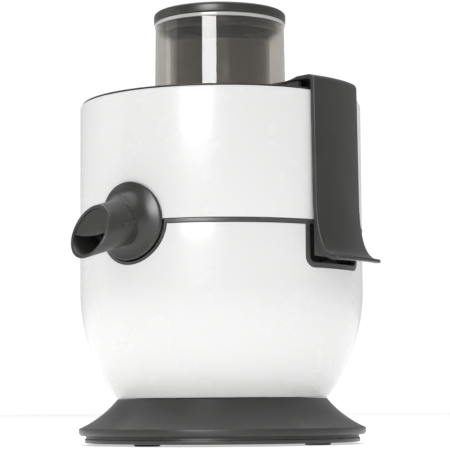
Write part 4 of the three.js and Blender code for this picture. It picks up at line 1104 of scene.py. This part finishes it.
# %% The filter basket
low, high = (corner.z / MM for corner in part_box("filter_mesh"))
mesh_profile = [(50.3, low), (51.3, low), (63, high), (62, high)]
sieve = turned("filter_sieve", mesh_profile, 192)
fit(sieve, "basket", "steel", filter_steel, "filter_mesh")
low, high = (corner.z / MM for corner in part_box("basket_rim"))
rim_profile = [(61.4, low), (66, low), (66, high), (61.4, high)]
basket_ring = turned("basket_ring", soften(rim_profile, 0.9, 4), 192)
fit(basket_ring, "basket", "grey_plastic", grey_satin, "basket_rim")
disc_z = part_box("cutter_disc")[0].z / MM
disc_profile = [(0, disc_z), (48.9, disc_z), (48.9, disc_z + 1.2), (0, disc_z + 1.2)]
disc = turned("grater_disc", soften(disc_profile, 0.3), 160)
teeth = []
for row, count in ((10, 6), (17, 12), (24, 18), (31, 24), (38, 30), (45, 36)):
    for k in range(count):
        at = turn(360 * k / count + row * 7, "Z") @ shift(row, 0, 0)
        blade = [(-1.6, -0.3), (1.6, -0.3), (1.3, 0.3), (-1.3, 0.3)]
        teeth.append(plate("tool", blade, disc_z + 1.1, disc_z + 2.6, at))
bpy.context.view_layer.objects.active = disc
blades = [disc] + teeth
with bpy.context.temp_override(
    active_object=disc, object=disc, selected_objects=blades, selected_editable_objects=blades
):
    bpy.ops.object.join()
fit(disc, "basket", "steel", brushed_steel, "cutter_disc")

# %% [markdown]
# # Finishes for the solids that stay as they are
# The motor, the deck, the switches and the basket's hub keep their measured shapes, because nothing of them is
# seen on the closed machine. They still get a real finish each: stacked sheets on the stator, wound copper,
# brushed bearings, and cast brackets. A table from name to finish is easier to check than a loop of rules.

# %% Finishes of the inner pieces
finishes = {
    "top_deck": grey_satin,
    "basket_hub": grey_satin,
    "stator_stack": steel_sheets,
    "armature": steel_sheets,
    "motor_top_bracket": cast_metal,
    "motor_bottom_bracket": cast_metal,
    "field_coil_top": copper_wire,
    "field_coil_bottom": copper_wire,
    "commutator": copper_wire,
    "upper_bearing": brushed_steel,
    "lower_bearing": brushed_steel,
    "motor_shaft": brushed_steel,
    "drive_coupling": brushed_steel,
    "brush_holder_left": black_satin,
    "brush_holder_right": black_satin,
    "cooling_fan": black_satin,
    "rotary_switch": black_satin,
    "interlock_switch": black_satin,
    "shaft_seal": rubber,
    "motor_damper_1": rubber,
    "motor_damper_2": rubber,
    "motor_damper_3": rubber,
}
for node_name, finish in finishes.items():
    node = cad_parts[node_name]
    node.data.materials.clear()
    node.data.materials.append(finish)
print(len(finishes), "inner pieces finished")

# %% [markdown]
# # Floor, light and camera
# The machine stands on a plain pale floor in an almost white room. The floor glows a little, as a lit table
# does, so it stays white to its far edge and fills the bulb from below. A wide light overhead and weak ones in
# front and on the left shape the housing. A tall narrow one draws the bright stripe down the feed tube: it is
# seen in reflections only, so it adds nothing to the white. The camera and the clear plastic see the room at
# full white, while it lights the scene at a lower strength.

# %% The floor
floor_material, tree, shader, where = start_material("pale_floor")
mottle = put(tree, "TexNoise", {"Vector": where, "Scale": 3.0, "Detail": 3.0})
floor_tone = put(
    tree,
    "Mix",
    {0: mottle.outputs["Fac"], 6: shade(0.95, 0.95, 0.95), 7: shade(0.93, 0.93, 0.93)},
    data_type="RGBA",
)
tree.links.new(floor_tone.outputs[2], shader.inputs["Base Color"])
shader.inputs["Roughness"].default_value = 0.65
shader.inputs["Specular IOR Level"].default_value = 0.2
shader.inputs["Emission Color"].default_value = (1, 1, 1, 1)
shader.inputs["Emission Strength"].default_value = 0.5
floor = plate("floor", [(4000 * x, 4000 * y) for x, y in ((-1, -1), (1, -1), (1, 1), (-1, 1))], -20, -0.02)
floor.data.materials.append(floor_material)
print("floor laid")

# %% The room's own light
world = bpy.data.worlds.new("white_room")
bpy.context.scene.world = world
world.use_nodes = True
room = world.node_tree
room.nodes.clear()
paths = room.nodes.new("ShaderNodeLightPath")
seen = put(
    room,
    "Math",
    {0: paths.outputs["Is Camera Ray"], 1: paths.outputs["Is Transmission Ray"]},
    operation="MAXIMUM",
)
strength = put(room, "Mix", {0: seen.outputs[0], 2: 0.43, 3: 1.04})
glow = put(room, "Background", {"Color": (1, 1, 1, 1), "Strength": strength.outputs[0]})
sky = room.nodes.new("ShaderNodeOutputWorld")
room.links.new(glow.outputs[0], sky.inputs["Surface"])
bpy.context.scene.view_settings.view_transform = "Standard"
print("room light ready")


# %% Softboxes
def softbox(name, azimuth, distance, height, width, tall, power, aim_height=160.0):
    """A rectangular light that looks at the axis. Azimuth 0 is in front, positive to the right."""
    light = bpy.data.lights.new(name, "AREA")
    light.shape = "RECTANGLE"
    light.size = width * MM
    light.size_y = tall * MM
    light.energy = power
    lamp = bpy.data.objects.new(name, light)
    bpy.context.scene.collection.objects.link(lamp)
    a = math.radians(azimuth)
    lamp.location = to_frame @ Vector((distance * math.sin(a), -distance * math.cos(a), height))
    target = to_frame @ Vector((0, 0, aim_height))
    lamp.rotation_euler = (target - lamp.location).to_track_quat("-Z", "Y").to_euler()
    print(name, "at", [round(v, 2) for v in lamp.location])
    return lamp


softbox("key_softbox", 19, 2300, 900, 900, 1500, 4)
low_fill = softbox("low_fill", 30, 2200, 260, 2000, 700, 3.5, 60)
low_fill.visible_glossy = False
softbox("top_softbox", 218, 400, 2400, 2400, 2400, 34)
softbox("left_fill", -60, 2300, 900, 1200, 1500, 3.5)
stripe = softbox("stripe_softbox", 19, 1950, 860, 860, 620, 30)
stripe.visible_diffuse = False

# %% [markdown]
# # The camera
# A long lens from just above the table, tilted up a little, gives the machine its tall look: verticals stay
# nearly straight and the rims curve up. The camera turns round the axis by its azimuth first, then tips and
# rolls, which is easier to adjust than aiming it at a point.

# %% The camera
AZIMUTH = 38.0
camera_data = bpy.data.cameras.new("camera")
camera_data.lens = 150
camera_data.sensor_width = 36
camera_data.clip_start = 0.05
camera_data.clip_end = 50
camera = bpy.data.objects.new("camera", camera_data)
bpy.context.scene.collection.objects.link(camera)
a = math.radians(AZIMUTH)
stand = to_frame @ Vector((1330 * math.sin(a), -1330 * math.cos(a), 27))
camera.matrix_world = (
    Matrix.Translation(stand) @ turn(AZIMUTH - 0.12, "Z") @ turn(90 + 5.5, "X") @ turn(-0.4, "Z")
)
bpy.context.scene.camera = camera
print("camera at", [round(v, 3) for v in camera.location])

# %% [markdown]
# # Sizes and hand-over
# The last cell writes the frame's own box and the finished model's box side by side, so that any piece that
# grew past its solid shows up as a number.

# %% Update the view layer
bpy.context.view_layer.update()
